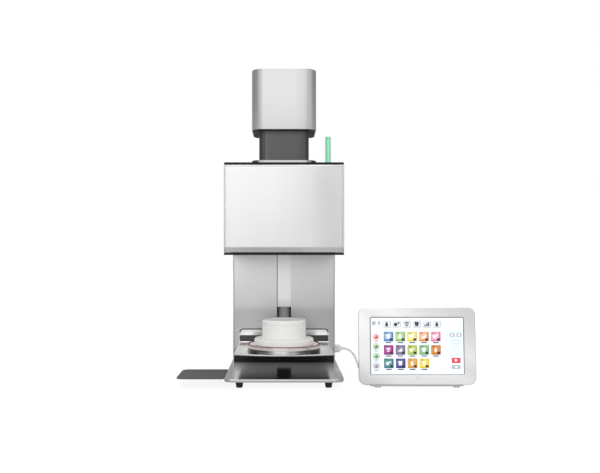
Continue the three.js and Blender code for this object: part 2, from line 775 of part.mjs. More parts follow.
addPiece(
  "guide_bracket_upper",
  cut(
    block(-bracketHalf, bracketHalf, bracketY0 - bracket.leg / 2, bracketY1, upperLow, shellHigh),
    rodZ(guide.tubeRadius + seatGap, upperLow - overrun, shellHigh + overrun, 0, guideY),
    rodZ(guide.spindleRadius + runningGap, upperLow - overrun, shellHigh + overrun, 0, spindleY, smallSides),
  ),
  castSteel,
);
addPiece(
  "lift_guide_tube",
  revolve([
    [guide.tubeBore, bracketTop + seatGap],
    [guide.tubeRadius, bracketTop + seatGap],
    [guide.tubeRadius, shellHigh],
    [guide.tubeBore, shellHigh],
  ], roundSides).translate(0, guideY, 0),
  polishedSteel,
);
const spindleLow = motorTop - motor.socketDepth + seatGap;
addPiece("lift_spindle", rodZ(guide.spindleRadius, spindleLow, shellHigh, 0, 0, smallSides), castSteel)
  .position.set(0, spindleY, 0);

// Lift carriage: a sleeve on the guide tube, a web through the slot and a lug for the nut

const carriageLow = bracketTop + carriage.restGap;
const sleeveOuter = guide.tubeRadius + carriage.wall;
const lugRear = spindleY + nut.radius + carriage.lugWall;
addPiece(
  "lift_carriage",
  cut(
    join(
      rodZ(sleeveOuter, carriageLow, carriageLow + carriage.height, 0, guideY),
      block(
        -carriage.webWidth / 2,
        carriage.webWidth / 2,
        columnY,
        guideY,
        carriageLow,
        carriageLow + carriage.webHeight,
      ),
      block(
        -carriage.lugWidth / 2,
        carriage.lugWidth / 2,
        guideY,
        lugRear,
        carriageLow,
        carriageLow + carriage.lugHeight,
      ),
    ),
    rodZ(guide.tubeRadius + runningGap, carriageLow - overrun, carriageLow + carriage.height + overrun, 0, guideY),
    rodZ(nut.radius + seatGap, carriageLow - overrun, carriageLow + carriage.height, 0, spindleY),
  ),
  anthracite,
);
const nutBore = guide.spindleRadius + runningGap;
const lugTop = carriageLow + carriage.lugHeight;
const nutProfile = [
  [nutBore, carriageLow],
  [nut.radius, carriageLow],
  [nut.radius, lugTop + seatGap],
  [nut.flangeRadius, lugTop + seatGap],
  [nut.flangeRadius, lugTop + seatGap + nut.flange],
  [nutBore, lugTop + seatGap + nut.flange],
];
addPiece("lift_nut", revolve(nutProfile, roundSides).translate(0, spindleY, 0), brass);

// Lift plate: a bowed front, straight sides and a flange turned up in front of the column

const plateRear = columnY - seatGap;
const plateSide = liftPlate.width / 2;
const plateFrontY = -liftPlate.frontReach;
const plateOutline = new THREE.Shape();
plateOutline.moveTo(-plateSide, plateRear);
plateOutline.lineTo(-plateSide, plateFrontY + liftPlate.bow);
plateOutline.quadraticCurveTo(0, plateFrontY - liftPlate.bow, plateSide, plateFrontY + liftPlate.bow);
plateOutline.lineTo(plateSide, plateRear);
const plateLow = liftPlate.height - liftPlate.thickness;
const flangeTop = liftPlate.height + liftPlate.flange;
const flangeOutline = new THREE.Shape();
flangeOutline.moveTo(-plateSide, plateLow);
flangeOutline.lineTo(plateSide, plateLow);
flangeOutline.lineTo(plateSide, flangeTop - liftPlate.corner);
flangeOutline.quadraticCurveTo(plateSide, flangeTop, plateSide - liftPlate.corner, flangeTop);
flangeOutline.lineTo(-plateSide + liftPlate.corner, flangeTop);
flangeOutline.quadraticCurveTo(-plateSide, flangeTop, -plateSide, flangeTop - liftPlate.corner);
addPiece(
  "lift_plate",
  join(
    extrudeZ(plateOutline, plateLow, liftPlate.height),
    extrudeY(flangeOutline, plateRear - liftPlate.thickness, plateRear),
  ),
  brushedSteel,
);

// Firing table, sealing ring and the two-part plinth

const stepTop = tableFoot + table.height * table.stepShare;
const ringZ = sealTop - ring.radius;
const grooveWall = ring.radius + seatGap;
const ringCentre = table.radius - ring.inset;
const tableProfile = [
  [0, tableFoot],
  [table.stepRadius - table.edge, tableFoot],
  [table.stepRadius, tableFoot + table.edge],
  [table.stepRadius, stepTop],
  [table.grooveRadius, stepTop],
  [table.grooveRadius, stepTop + table.groove],
  [table.radius, stepTop + table.groove],
  [table.radius, tableTop - table.edge],
  [table.radius - table.edge, tableTop],
  [ringCentre + grooveWall, tableTop],
  [ringCentre + grooveWall, ringZ - grooveWall],
  [ringCentre - grooveWall, ringZ - grooveWall],
  [ringCentre - grooveWall, tableTop],
  [0, tableTop],
];
addPiece("firing_table", revolve(tableProfile), polishedSteel);
const ringProfile = Array.from({ length: 6 }, (_, i) => {
  const angle = (2 * Math.PI * (i + 0.5)) / 6;
  return [ringCentre + ring.radius * Math.cos(angle), ringZ + ring.radius * Math.sin(angle)];
});
addPiece("sealing_ring", revolve(ringProfile), sealRed);

const plinthFoot = tableTop + seatGap;
const plinthTop = plinthFoot + plinth.height;
const capFoot = plinthTop - cap.height;
const flangeEdge = [0, 1, 2, 3].map((k) => {
  const angle = (k * Math.PI) / 6;
  return [
    plinth.flangeRadius - plinth.edge * (1 - Math.cos(angle)),
    plinthFoot + plinth.flangeHeight - plinth.edge * (1 - Math.sin(angle)),
  ];
});
const plinthProfile = [
  [0, plinthFoot],
  [plinth.flangeRadius, plinthFoot],
  ...flangeEdge,
  [plinth.radius, plinthFoot + plinth.flangeHeight],
  [plinth.radius, capFoot - seatGap],
  [0, capFoot - seatGap],
];
addPiece("plinth", revolve(plinthProfile), ceramicFibre);
const capProfile = [
  [0, capFoot],
  [plinth.radius, capFoot],
  [plinth.radius, plinthTop - cap.edge],
  [plinth.radius - cap.edge, plinthTop],
  [cap.recessRadius, plinthTop],
  [cap.recessRadius - cap.recess, plinthTop - cap.recess],
  [0, plinthTop - cap.recess],
];
const capPins = [-1, 1].map((side) =>
  rodZ(cap.pinRadius, plinthTop - cap.pinDepth, plinthTop + overrun, side * cap.pinOffset, 0, 8),
);
addPiece("plinth_cap", cut(revolve(capProfile), ...capPins), ceramicFibre);

// Press tower: collar, hollow neck, floor and shell

const collarLow = roundedOutline(
  tower.width - 2 * collar.shadowInset,
  tower.depth - 2 * collar.shadowInset,
  tower.corner - collar.shadowInset,
);
addPiece(
  "tower_collar",
  cut(
    join(
      extrudeZ(collarLow, collarFoot, collarFoot + collar.height / 2),
      extrudeZ(
        roundedOutline(tower.width, tower.depth, tower.corner),
        collarFoot + collar.shadow,
        collarFoot + collar.height,
        seatGap,
      ),
    ),
    rodZ(collar.hole, collarFoot - overrun, neckFoot + overrun),
  ),
  paleLacquer,
);
const neckInner = roundedOutline(neck.width - 2 * neck.wall, neck.depth - 2 * neck.wall, neck.corner - neck.wall);
addPiece(
  "tower_neck",
  cut(
    extrudeZ(roundedOutline(neck.width, neck.depth, neck.corner), neckFoot, neckFoot + neck.height),
    extrudeZ(neckInner, neckFoot - overrun, neckFoot + neck.height + overrun),
  ),
  anthracite,
);
const innerWidth = tower.width - 2 * tower.wall;
const innerDepth = tower.depth - 2 * tower.wall;
const innerCorner = tower.corner - tower.wall;
addPiece(
  "tower_floor",
  cut(
    extrudeZ(
      roundedOutline(innerWidth - 2 * seatGap, innerDepth - 2 * seatGap, innerCorner - seatGap),
      towerFoot,
      floorTop,
    ),
    rodZ(press.ramRadius + 2 * runningGap, towerFoot - overrun, floorTop + overrun),
  ),
  blackLacquer,
);
addPiece(
  "tower_shell",
  cut(
    roundedBlock(tower.width, tower.depth, tower.corner, towerFoot, towerTop, tower.edge),
    extrudeZ(roundedOutline(innerWidth, innerDepth, innerCorner), towerFoot - overrun, towerTop - tower.wall),
  ),
  paleLacquer,
);

// Press drive in the tower

const motorCeiling = towerTop - tower.wall - press.headroom;
const pressMotorLow = motorCeiling - press.motorHeight;
const pressPlateTop = pressMotorLow - seatGap;
const pressPlateLow = pressPlateTop - press.plate;
addPiece(
  "press_motor",
  cut(
    extrudeZ(roundedOutline(motor.side, motor.side, motor.cornerCut, 0, 0, 1), pressMotorLow, motorCeiling),
    rodZ(press.spindleRadius + runningGap, pressMotorLow - overrun, pressMotorLow + motor.socketDepth, 0, 0, smallSides),
  ),
  blackLacquer,
);
const pressRods = [-1, 1].map((side) =>
  rodZ(press.rodRadius, floorTop + seatGap, pressPlateTop - press.plate / 2, side * press.rodOffset, 0, smallSides),
);
addPiece(
  "press_frame",
  cut(
    join(
      block(
        -press.plateWidth / 2,
        press.plateWidth / 2,
        -press.plateDepth / 2,
        press.plateDepth / 2,
        pressPlateLow,
        pressPlateTop,
      ),
      ...pressRods,
    ),
    rodZ(press.spindleRadius + runningGap, pressPlateLow - overrun, pressPlateTop + overrun, 0, 0, smallSides),
  ),
  castSteel,
);
const crossTop = pressPlateLow - press.cross / 2;
const crossLow = crossTop - press.cross;
const spindleTop = pressMotorLow + motor.socketDepth - seatGap;
const pressSpindleLow = spindleTop - press.spindleReach - motor.socketDepth;
addPiece("press_spindle", rodZ(press.spindleRadius, pressSpindleLow, spindleTop, 0, 0, smallSides), castSteel);
const ramLow = potTop + press.stroke + seatGap + chamber.potWall;
const ramProfile = [
  [0, ramLow + press.cup],
  [press.plungerRadius + seatGap, ramLow + press.cup],
  [press.plungerRadius + seatGap, ramLow],
  [press.ramRadius, ramLow],
  [press.ramRadius, crossTop],
  [press.spindleRadius + runningGap, crossTop],
  [press.spindleRadius + runningGap, pressSpindleLow - 2 * runningGap],
  [0, pressSpindleLow - 2 * runningGap],
];
const crossPlate = cut(
  block(-press.crossWidth / 2, press.crossWidth / 2, -press.crossDepth / 2, press.crossDepth / 2, crossLow, crossTop),
  rodZ(press.spindleRadius + runningGap, crossLow - overrun, crossTop + overrun, 0, 0, smallSides),
  ...[-1, 1].map((side) =>
    rodZ(press.rodRadius + runningGap, crossLow - overrun, crossTop + overrun, side * press.rodOffset, 0, smallSides),
  ),
);
addPiece("press_crosshead", join(revolve(ramProfile, smallSides), crossPlate), castSteel);
const plungerLow = lidFoot + seatGap + 2 * runningGap;
addPiece(
  "press_plunger",
  rodZ(press.plungerRadius, plungerLow, ramLow + press.cup - seatGap, 0, 0, smallSides),
  quartz,
);

// Status light: a clear rod in a socket on the head

const socketFoot = headTop + seatGap;
const lightFoot = socketFoot + lightSocket.floor + seatGap;
const lightTop = headTop + light.height;
const capLow = lightTop - light.cap;
addPiece(
  "light_socket",
  revolve(
    [
      [0, socketFoot],
      [lightSocket.radius, socketFoot],
      [lightSocket.radius, socketFoot + lightSocket.height - lightSocket.edge],
      [lightSocket.radius - lightSocket.edge, socketFoot + lightSocket.height],
      [light.radius + seatGap, socketFoot + lightSocket.height],
      [light.radius + seatGap, socketFoot + lightSocket.floor],
      [0, socketFoot + lightSocket.floor],
    ],
    roundSides,
  ).translate(lightX, 0, 0),
  polishedSteel,
);
addPiece(
  "light_rod",
  revolve(
    [
      [0, lightFoot],
      [light.radius, lightFoot],
      [light.radius, capLow - light.groove],
      [light.radius - light.grooveDepth, capLow - light.groove],
      [light.radius - light.grooveDepth, capLow],
      [light.radius, capLow],
      [light.radius, lightTop - light.edge],
      [light.radius - light.edge, lightTop],
      [0, lightTop],
    ],
    roundSides,
  ).translate(lightX, 0, 0),
  greenAcrylic,
);

// Cooling tray beside the base, and the strip under both that carries it

const trayRight = -halfWidth - tray.sideGap;
const trayLeft = trayRight - tray.width;
const trayFront = frontY + tray.frontInset;
const trayTop = baseTop;
const trayOutline = new THREE.Shape();
trayOutline.moveTo(trayRight, trayFront);
trayOutline.lineTo(trayRight, trayFront + tray.depth);
trayOutline.lineTo(trayLeft + tray.corner, trayFront + tray.depth);
trayOutline.absarc(trayLeft + tray.corner, trayFront + tray.depth - tray.corner, tray.corner, Math.PI / 2, Math.PI);
trayOutline.absarc(trayLeft + tray.corner, trayFront + tray.corner, tray.corner, Math.PI, 1.5 * Math.PI);
addPiece("side_tray", extrudeZ(trayOutline, trayTop - tray.thickness, trayTop), anthracite);
const stripHigh = trayTop - tray.thickness - seatGap;
const stripLine = [
  [-halfWidth + strip.inner, baseUnder - seatGap],
  [-halfWidth + seatGap, baseUnder - seatGap],
  [-halfWidth - 2 * strip.thickness, stripHigh],
  [-halfWidth - strip.outer, stripHigh],
];
addPiece(
  "tray_strip",
  extrudeY(
    foldedSheet(stripLine, strip.thickness),
    trayFront + strip.frontInset,
    trayFront + strip.frontInset + strip.depth,
  ),
  blackLacquer,
);

// Mains inlet with its three blades, and the switch

const inletFace = rearY + seatGap + inlet.flange;
const cavityOutline = roundedOutline(
  inlet.width - 2 * inlet.wall,
  inlet.height - 2 * inlet.wall,
  inlet.wall,
  inletX,
  inletZ,
  2,
);
const cavityEnd = inletFace - inlet.cavity;
const inletBody = cut(
  join(
    extrudeY(
      roundedOutline(inlet.width - 2 * seatGap, inlet.height - 2 * seatGap, inlet.wall, inletX, inletZ, 2),
      inletFace - inlet.depth,
      inletFace - seatGap,
    ),
    extrudeY(
      roundedOutline(inlet.width + 2 * inlet.lip, inlet.height + 2 * inlet.lip, inlet.lip, inletX, inletZ, 2),
      rearY + seatGap,
      inletFace,
    ),
  ),
  extrudeY(cavityOutline, cavityEnd, inletFace + overrun),
);
const blades = [-1, 0, 1].map((side) => {
  const x = inletX + side * pin.spread;
  const z = inletZ + (side === 0 ? pin.rise : -pin.rise);
  return block(
    x - pin.width / 2,
    x + pin.width / 2,
    cavityEnd - pin.root,
    cavityEnd + pin.length,
    z - pin.height / 2,
    z + pin.height / 2,
  );
});

const rockerY = inletFace - rocker.dip;
const switchHalfX = rocker.width / 2 + rocker.wall;
const switchHalfZ = rocker.radius + rocker.wall;
const switchBack = rockerY - rocker.depth;
const switchBody = cut(
  join(
    block(
      rockerX - switchHalfX,
      rockerX + switchHalfX,
      switchBack,
      inletFace,
      inletZ - switchHalfZ,
      inletZ + switchHalfZ,
    ),
    block(
      inletX,
      rockerX + switchHalfX + rocker.wall / 2,
      rearY + seatGap,
      inletFace,
      inletZ - switchHalfZ - rocker.wall,
      inletZ + switchHalfZ + rocker.wall,
    ),
  ),
  block(
    rockerX - rocker.width / 2 - runningGap,
    rockerX + rocker.width / 2 + runningGap,
    switchBack + rocker.wall,
    inletFace + overrun,
    inletZ - rocker.radius - runningGap,
    inletZ + rocker.radius + runningGap,
  ),
  extrudeY(cavityOutline, cavityEnd, inletFace + overrun),
);
addPiece("mains_inlet", join(inletBody, switchBody, ...blades), blackPlastic);
// The rocker is bounded by a circle about its pivot, so that it clears its housing at every angle.
const proudHeight = Math.sqrt(rocker.radius ** 2 - rocker.proud ** 2);
const tailHeight = Math.sqrt(rocker.radius ** 2 - rocker.tail ** 2);
const rockerOutline = [
  [rocker.dip, 0],
  [rocker.proud, proudHeight],
  [0, rocker.radius],
  [-rocker.tail, tailHeight],
  [-rocker.tail, -tailHeight],
  [0, -rocker.radius],
  [rocker.proud, -proudHeight],
];
const rockerMesh = addPiece("mains_rocker", extrudeX(rockerOutline, -rocker.width / 2, rocker.width / 2), blackPlastic);
rockerMesh.position.set(rockerX, rockerY, inletZ);
rockerMesh.rotation.x = -THREE.MathUtils.degToRad(rocker.tiltDeg);

// Control board on standoffs, with a finned heat sink

const boardX = -betweenSides + board.standoff;
const boardY0 = columnInner + board.inset;
const boardZ0 = sideFoot + board.lift;
const standoffs = [0, 1, 2, 3].map((k) => {
  const y = boardY0 + (k % 2 ? board.depth - board.standoff : board.standoff);
  const z = boardZ0 + (k > 1 ? board.height - board.standoff : board.standoff);
  return rodX(board.standoff / 3, -betweenSides, boardX + board.thickness / 2, y, z, 8);
});
const sinkX = boardX + board.thickness;
const sinkY = boardY0 + board.standoff;
const sinkZ = boardZ0 + board.height / 2;
const finPitch = (heatSink.depth - heatSink.fin) / (heatSink.fins - 1);
const fins = Array.from({ length: heatSink.fins }, (_, i) =>
  block(
    sinkX,
    sinkX + heatSink.reach,
    sinkY + i * finPitch,
    sinkY + i * finPitch + heatSink.fin,
    sinkZ,
    sinkZ + heatSink.height,
  ),
);
addPiece(
  "control_board",
  join(
    block(boardX, sinkX, boardY0, boardY0 + board.depth, boardZ0, boardZ0 + board.height),
    block(
      boardX + board.thickness / 2,
      sinkX + heatSink.foot,
      sinkY,
      sinkY + heatSink.depth,
      sinkZ,
      sinkZ + heatSink.height,
    ),
    ...fins,
    ...standoffs,
  ),
  boardGreen,
);

// Socket in the column's side and the plug in it

addPiece(
  "column_socket",
  cut(
    block(
      halfWidth - socket.depth,
      halfWidth,
      plugY - socket.side / 2,
      plugY + socket.side / 2,
      plugZ - socket.side / 2,
      plugZ + socket.side / 2,
    ),
    block(
      halfWidth - socket.keyDepth,
      halfWidth + overrun,
      plugY - socket.key / 2,
      plugY + socket.key / 2,
      plugZ - socket.key / 2,
      plugZ + socket.key / 2,
    ),
  ),
  blackPlastic,
);
const plugFoot = halfWidth + seatGap;
const plugEnd = plugFoot + plug.length;
const plugTurn = new THREE.Matrix4().makeBasis(
  new THREE.Vector3(0, 1, 0),
  new THREE.Vector3(0, 0, 1),
  new THREE.Vector3(1, 0, 0),
);
const plugTip = roundedOutline(plug.depth * plug.tipShare, plug.height * plug.tipShare, plug.corner, 0, 0, 2);
const plugSide = roundedOutline(plug.depth, plug.height, plug.corner, 0, 0, 2);
const plugKey = socket.key - 2 * seatGap;
addPiece(
  "cable_plug",
  join(
    loft([
      { outline: plugSide, z: plugFoot },
      { outline: plugSide, z: plugEnd - plug.tip },
      { outline: plugTip, z: plugEnd },
    ])
      .applyMatrix4(plugTurn)
      .translate(0, plugY, plugZ),
    block(
      plugFoot - socket.keyDepth,
      plugFoot + plug.tip,
      plugY - plugKey / 2,
      plugY + plugKey / 2,
      plugZ - plugKey / 2,
      plugZ + plugKey / 2,
    ),
  ),
  palePlastic,
);

// Touch panel: worked out about its hinge pin, with the front towards -Y, and leaned back as one

const panelX = halfWidth + panel.gap + panel.width / 2;
const standTop = stand.padHeight + stand.thickness;
const lean = THREE.MathUtils.degToRad(panel.leanDeg);
const hingeDown = upright.hingeHeight / Math.cos(lean); // from the hinge to the panel's lower edge, along the panel
const hingeBack = panel.thickness + upright.hingeBehind; // from the panel's front to the hinge
const panelFrontY = frontY + panel.frontInset;
const hingeY = panelFrontY + hingeBack * Math.cos(lean) + hingeDown * Math.sin(lean);
// The panel's lowest points are the lower rear edges of its frame and of its shell.
const frameDrop = hingeDown * Math.cos(lean) - (hingeBack - panel.frame) * Math.sin(lean);
const shellDrop = (hingeDown - panel.wall) * Math.cos(lean) - upright.hingeBehind * Math.sin(lean);
const hingeZ = standTop + seatGap + Math.max(frameDrop, shellDrop);
const tilt = new THREE.Group();
tilt.position.set(panelX, hingeY, hingeZ);
tilt.rotation.x = -lean;
furnace.add(tilt);
const panelMiddle = panel.height / 2 - hingeDown;
const frameBack = -hingeBack + panel.frame;
const panelOutline = roundedOutline(panel.width, panel.height, panel.corner, 0, panelMiddle);
const windowOutline = (grow) =>
  roundedOutline(screen.width + grow, screen.height + grow, screen.thickness, 0, panelMiddle, 2);
const buttonZ = button.height - hingeDown;
addPiece(
  "panel_frame",
  cut(
    extrudeY(panelOutline, -hingeBack, frameBack, panel.edge),
    extrudeY(windowOutline(2 * screen.fit), -hingeBack - overrun, -hingeBack + screen.thickness + screen.fit),
    extrudeY(windowOutline(-2 * screen.ledge), -hingeBack, frameBack + overrun),
    rodY(button.radius + seatGap, -hingeBack - overrun, frameBack + overrun, 0, buttonZ, smallSides),
    rodY(
      button.flangeRadius + seatGap,
      frameBack - button.flange - 2 * seatGap,
      frameBack + overrun,
      0,
      buttonZ,
      smallSides,
    ),
  ),
  paleLacquer,
  tilt,
);
addPiece(
  "panel_screen",
  extrudeY(windowOutline(0), -hingeBack + screen.fit, -hingeBack + screen.thickness),
  screenGlass,
  tilt,
);
const shellInset = 2 * panel.wall;
const shellFront = frameBack + seatGap;
const shellOutline = roundedOutline(
  panel.width - shellInset,
  panel.height - shellInset,
  panel.corner - panel.wall,
  0,
  panelMiddle,
);
const shellHollow = roundedOutline(
  panel.width - 2 * shellInset,
  panel.height - 2 * shellInset,
  panel.corner - shellInset,
  0,
  panelMiddle,
);
const shellBack = -upright.hingeBehind;
const knuckleX0 = upright.width / 2 + knuckle.sideGap;
const knuckles = [-1, 1].map((side) => {
  const x0 = side > 0 ? knuckleX0 : -knuckleX0 - knuckle.width;
  return join(
    rodX(upright.barrelRadius, x0, x0 + knuckle.width, 0, 0, smallSides),
    block(x0, x0 + knuckle.width, shellBack - knuckle.root, 0, -upright.barrelRadius, upright.barrelRadius),
  );
});
const pinBore = upright.pinRadius + runningGap;
addPiece(
  "panel_shell",
  cut(
    join(
      cut(
        extrudeY(shellOutline, shellFront, shellBack, panel.edge),
        extrudeY(shellHollow, shellFront - overrun, shellBack - panel.back),
      ),
      ...knuckles,
    ),
    rodX(pinBore, -knuckleX0 - knuckle.width - overrun, knuckleX0 + knuckle.width + overrun, 0, 0, smallSides),
  ),
  palePlastic,
  tilt,
);
const buttonBack = frameBack - seatGap;
addPiece(
  "power_button",
  join(
    rodY(button.radius, -hingeBack - button.proud, buttonBack - button.flange / 2, 0, buttonZ, smallSides),
    rodY(button.flangeRadius, buttonBack - button.flange, buttonBack, 0, buttonZ, smallSides),
  ),
  palePlastic,
  tilt,
);

// Stand: a base on four pads, an upright whose top is rolled into a barrel, the hinge pin and the cable's inlet

const standFront = panelFrontY + stand.frontInset;
const standRear = standFront + stand.depth;
const pads = [0, 1, 2, 3].map((k) => {
  const x = panelX + (k % 2 ? 1 : -1) * (stand.width / 2 - stand.padInset);
  const y = k > 1 ? standRear - stand.padInset : standFront + stand.padRadius;
  return rodZ(stand.padRadius, 0, stand.padHeight + stand.thickness / 2, x, y, smallSides);
});
const standMiddle = (standFront + standRear) / 2;
const standPlate = extrudeZ(
  roundedOutline(stand.width, stand.depth, stand.padRadius, panelX, standMiddle, 3),
  stand.padHeight,
  standTop,
);
const uprightFoot = standTop - stand.thickness / 2;
const uprightRear = Math.min(hingeY + upright.setback, standRear - upright.sheet);
const uprightLine = [
  [uprightRear - upright.setback, uprightFoot],
  [uprightRear, uprightFoot],
  [hingeY + upright.barrelRadius - upright.sheet / 2, hingeZ],
];
addPiece(
  "panel_stand",
  cut(
    join(
      standPlate,
      ...pads,
      extrudeX(foldedSheet(uprightLine, upright.sheet), panelX - upright.width / 2, panelX + upright.width / 2),
      rodX(
        upright.barrelRadius,
        panelX - upright.width / 2,
        panelX + upright.width / 2,
        hingeY,
        hingeZ,
        smallSides,
      ),
    ),
    rodX(
      pinBore,
      panelX - upright.width / 2 - overrun,
      panelX + upright.width / 2 + overrun,
      hingeY,
      hingeZ,
      smallSides,
    ),
  ),
  paleLacquer,
);
const pinReach = knuckleX0 + knuckle.width;
addPiece(
  "hinge_pin",
  rodX(upright.pinRadius, panelX - pinReach, panelX + pinReach, hingeY, hingeZ, smallSides),
  polishedSteel,
);
const inletBoxX = panelX - inletBox.offset;
const inletBoxFoot = standTop + seatGap;
const inletBoxZ = inletBoxFoot + inletBox.height / 2;
const inletBoxRear = standRear;
addPiece(
  "stand_socket",
  cut(
    block(
      inletBoxX - inletBox.width / 2,
      inletBoxX + inletBox.width / 2,
      inletBoxRear - inletBox.depth,
      inletBoxRear,
      inletBoxFoot,
      inletBoxFoot + inletBox.height,
    ),
    rodY(inletBox.bore, inletBoxRear - inletBox.depth / 2, inletBoxRear + overrun, inletBoxX, inletBoxZ, smallSides),
  ),
  blackPlastic,
);

// Cable: a plug at each end, two free stretches and a wound coil between them

const farFoot = inletBoxRear + seatGap;
const farEnd = farFoot + farPlug.length;
const farPin = inletBox.bore - seatGap;
const farProfile = [
  [0, farFoot - inletBox.depth / 2 + seatGap],
  [farPin, farFoot - inletBox.depth / 2 + seatGap],
  [farPin, farFoot],
  [farPlug.radius, farFoot],
  [farPlug.radius, farEnd - farPlug.tip],
  [farPlug.radius * farPlug.tipShare, farEnd],
  [0, farEnd],
];
addPiece(
  "cable_far_plug",
  revolve(farProfile, smallSides).rotateX(-Math.PI / 2).translate(inletBoxX, 0, inletBoxZ),
  palePlastic,
);

/** Points of the coil: two layers that spiral in and out again, and climb where the spiral reverses. */
function coilPoints() {
  const steps = coil.turns * coil.stepsPerTurn;
  const points = Array.from({ length: steps + 1 }, (_, i) => {
    const turn = i / coil.stepsPerTurn;
    const inwards = Math.min(turn, coil.turns - turn);
    const radius = coil.outerRadius - coil.pitch * inwards;
    const climb = THREE.MathUtils.smoothstep(turn, coil.turns / 2 - 0.25, coil.turns / 2 + 0.25);
    const angle = Math.PI * (1 + 2 * turn);
    return new THREE.Vector3(
      coilCentre[0] + radius * Math.cos(angle),
      coilCentre[1] + radius * Math.sin(angle),
      cable.restHeight + coil.layer * climb,
    );
  });
  const straight = new THREE.Vector3(0, cable.diameter, 0);
  return [points[0].clone().add(straight), ...points, points.at(-1).clone().sub(straight)];
}

const wound = coilPoints();
addPiece("cable_coil", woundTube(wound, cable.diameter / 2, coil.sides), cablePlastic);
console.log(`cable_coil: least gap to itself ${leastGap(wound, cable.diameter).toFixed(2)} mm`);
const cableStep = 2.4 * cable.diameter;
const faceGap = new THREE.Vector3(0, seatGap, 0);
const faceStraight = new THREE.Vector3(0, seatGap + cable.diameter, 0);
const nearCable = freeTube(
  [
    [plugEnd + seatGap, plugY, plugZ],
    ...cableRoute,
    wound[0].clone().add(faceStraight),
    wound[0].clone().add(faceGap),
  ],
  cable.diameter / 2,
  cable.sides,
  cableStep,
);
const farCable = freeTube(
  [
    wound.at(-1).clone().sub(faceGap),
    wound.at(-1).clone().sub(faceStraight),
    ...tailRoute,
    [inletBoxX, farEnd + 2 * cable.diameter, inletBoxZ],
    [inletBoxX, farEnd + seatGap, inletBoxZ],
  ],
  cable.diameter / 2,
  cable.sides,
  cableStep,
);
addPiece("control_cable", nearCable.geometry, cablePlastic);
addPiece("control_cable_tail", farCable.geometry, cablePlastic);

/** The length of a line through the points. */
function lengthOf(points) {
  return points.slice(1).reduce((sum, p, i) => sum + p.distanceTo(points[i]), 0);
}
const cableLength = nearCable.length + lengthOf(wound) + farCable.length;
console.log(`cable: ${cableLength.toFixed(1)} mm from plug to plug; lift travel ${liftTravel.toFixed(2)} mm`);

// The origin: the middle of the footprint, on the bench, measured without the cable and its plugs

const onCable = new Set(["cable_plug", "control_cable", "cable_coil", "control_cable_tail", "cable_far_plug"]);
const footprint = new THREE.Box3();
furnace.updateMatrixWorld(true);
furnace.traverse((piece) => {
  if (piece.isMesh && !onCable.has(piece.name)) footprint.expandByObject(piece, true);
});
const middle = footprint.getCenter(new THREE.Vector3());
furnace.position.set(-middle.x, -middle.y, -footprint.min.z);
console.log(`origin: ${middle.x.toFixed(3)}, ${middle.y.toFixed(3)} from the chamber's axis`);

export default furnace;
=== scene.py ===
# %% [markdown]
# A dental lab furnace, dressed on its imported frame
# This lesson takes the plain solids of a bench furnace and gives them the surfaces that the real one has:
# brushed and lacquered sheet metal, a white fibre plinth, a clear green light and a lit touch panel.
# Shapes are worked out in millimetres and become metres when a piece is made. Z is up, the front is
# towards -Y, and the bench is at height zero.

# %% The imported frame
import json
import math

import bmesh
import bpy
import numpy as np
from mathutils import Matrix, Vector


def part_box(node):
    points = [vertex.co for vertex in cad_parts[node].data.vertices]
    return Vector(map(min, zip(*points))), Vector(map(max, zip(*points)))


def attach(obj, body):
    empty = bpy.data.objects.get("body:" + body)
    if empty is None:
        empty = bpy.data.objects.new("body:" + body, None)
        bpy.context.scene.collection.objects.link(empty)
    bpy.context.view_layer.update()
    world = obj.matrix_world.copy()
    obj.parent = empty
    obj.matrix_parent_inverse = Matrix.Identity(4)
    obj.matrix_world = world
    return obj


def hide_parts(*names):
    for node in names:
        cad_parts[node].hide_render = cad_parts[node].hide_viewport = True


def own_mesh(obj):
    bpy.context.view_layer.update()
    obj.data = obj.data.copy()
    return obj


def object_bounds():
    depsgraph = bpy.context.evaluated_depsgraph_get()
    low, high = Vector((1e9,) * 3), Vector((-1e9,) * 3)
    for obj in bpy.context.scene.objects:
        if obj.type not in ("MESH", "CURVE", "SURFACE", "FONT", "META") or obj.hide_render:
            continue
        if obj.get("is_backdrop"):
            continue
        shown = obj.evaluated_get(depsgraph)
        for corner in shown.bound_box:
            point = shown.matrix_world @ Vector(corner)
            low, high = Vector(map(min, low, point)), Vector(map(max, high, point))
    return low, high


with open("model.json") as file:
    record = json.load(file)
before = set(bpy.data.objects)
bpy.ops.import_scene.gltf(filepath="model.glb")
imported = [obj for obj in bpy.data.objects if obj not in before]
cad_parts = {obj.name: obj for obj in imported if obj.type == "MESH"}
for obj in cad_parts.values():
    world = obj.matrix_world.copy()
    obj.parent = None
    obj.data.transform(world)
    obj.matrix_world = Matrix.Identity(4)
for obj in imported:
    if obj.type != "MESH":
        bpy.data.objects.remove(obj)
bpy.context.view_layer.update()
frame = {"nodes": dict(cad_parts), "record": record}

MM = 0.001

# %% [markdown]
# Where things are
# The solids already stand where the pieces belong, so their boxes are the ruler of this lesson. A piece
# whose size is read from a box follows the solid when it changes.


# %% A ruler for the solids
def span(node):
    """Lowest and highest corner of a solid, in millimetres."""
    return np.array([tuple(corner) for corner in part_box(node)]) / MM


def middle(node):
    """Centre of a solid's box: half the sum of its lowest and highest corner."""
    return span(node).mean(0)


def unit(vectors):
    """Each vector divided by its own length."""
    return vectors / np.linalg.norm(vectors, axis=-1, keepdims=True)


def placed(name, data):
    """A new object of the data, put into the scene."""
    made = bpy.data.objects.new(name, data)
    bpy.context.scene.collection.objects.link(made)
    return made


axis_x, axis_y = middle("plinth")[:2]
print("the firing chamber's axis is at", axis_x, axis_y)

# %% [markdown]
# The camera
# The photograph was taken level, from straight in front of the chamber. Its lens is a normal one, and its
# horizon lies at the underside of the head. The object stands left of the middle of the picture, so the
# view is shifted rather than turned, as with a shift lens, which keeps every upright edge upright.

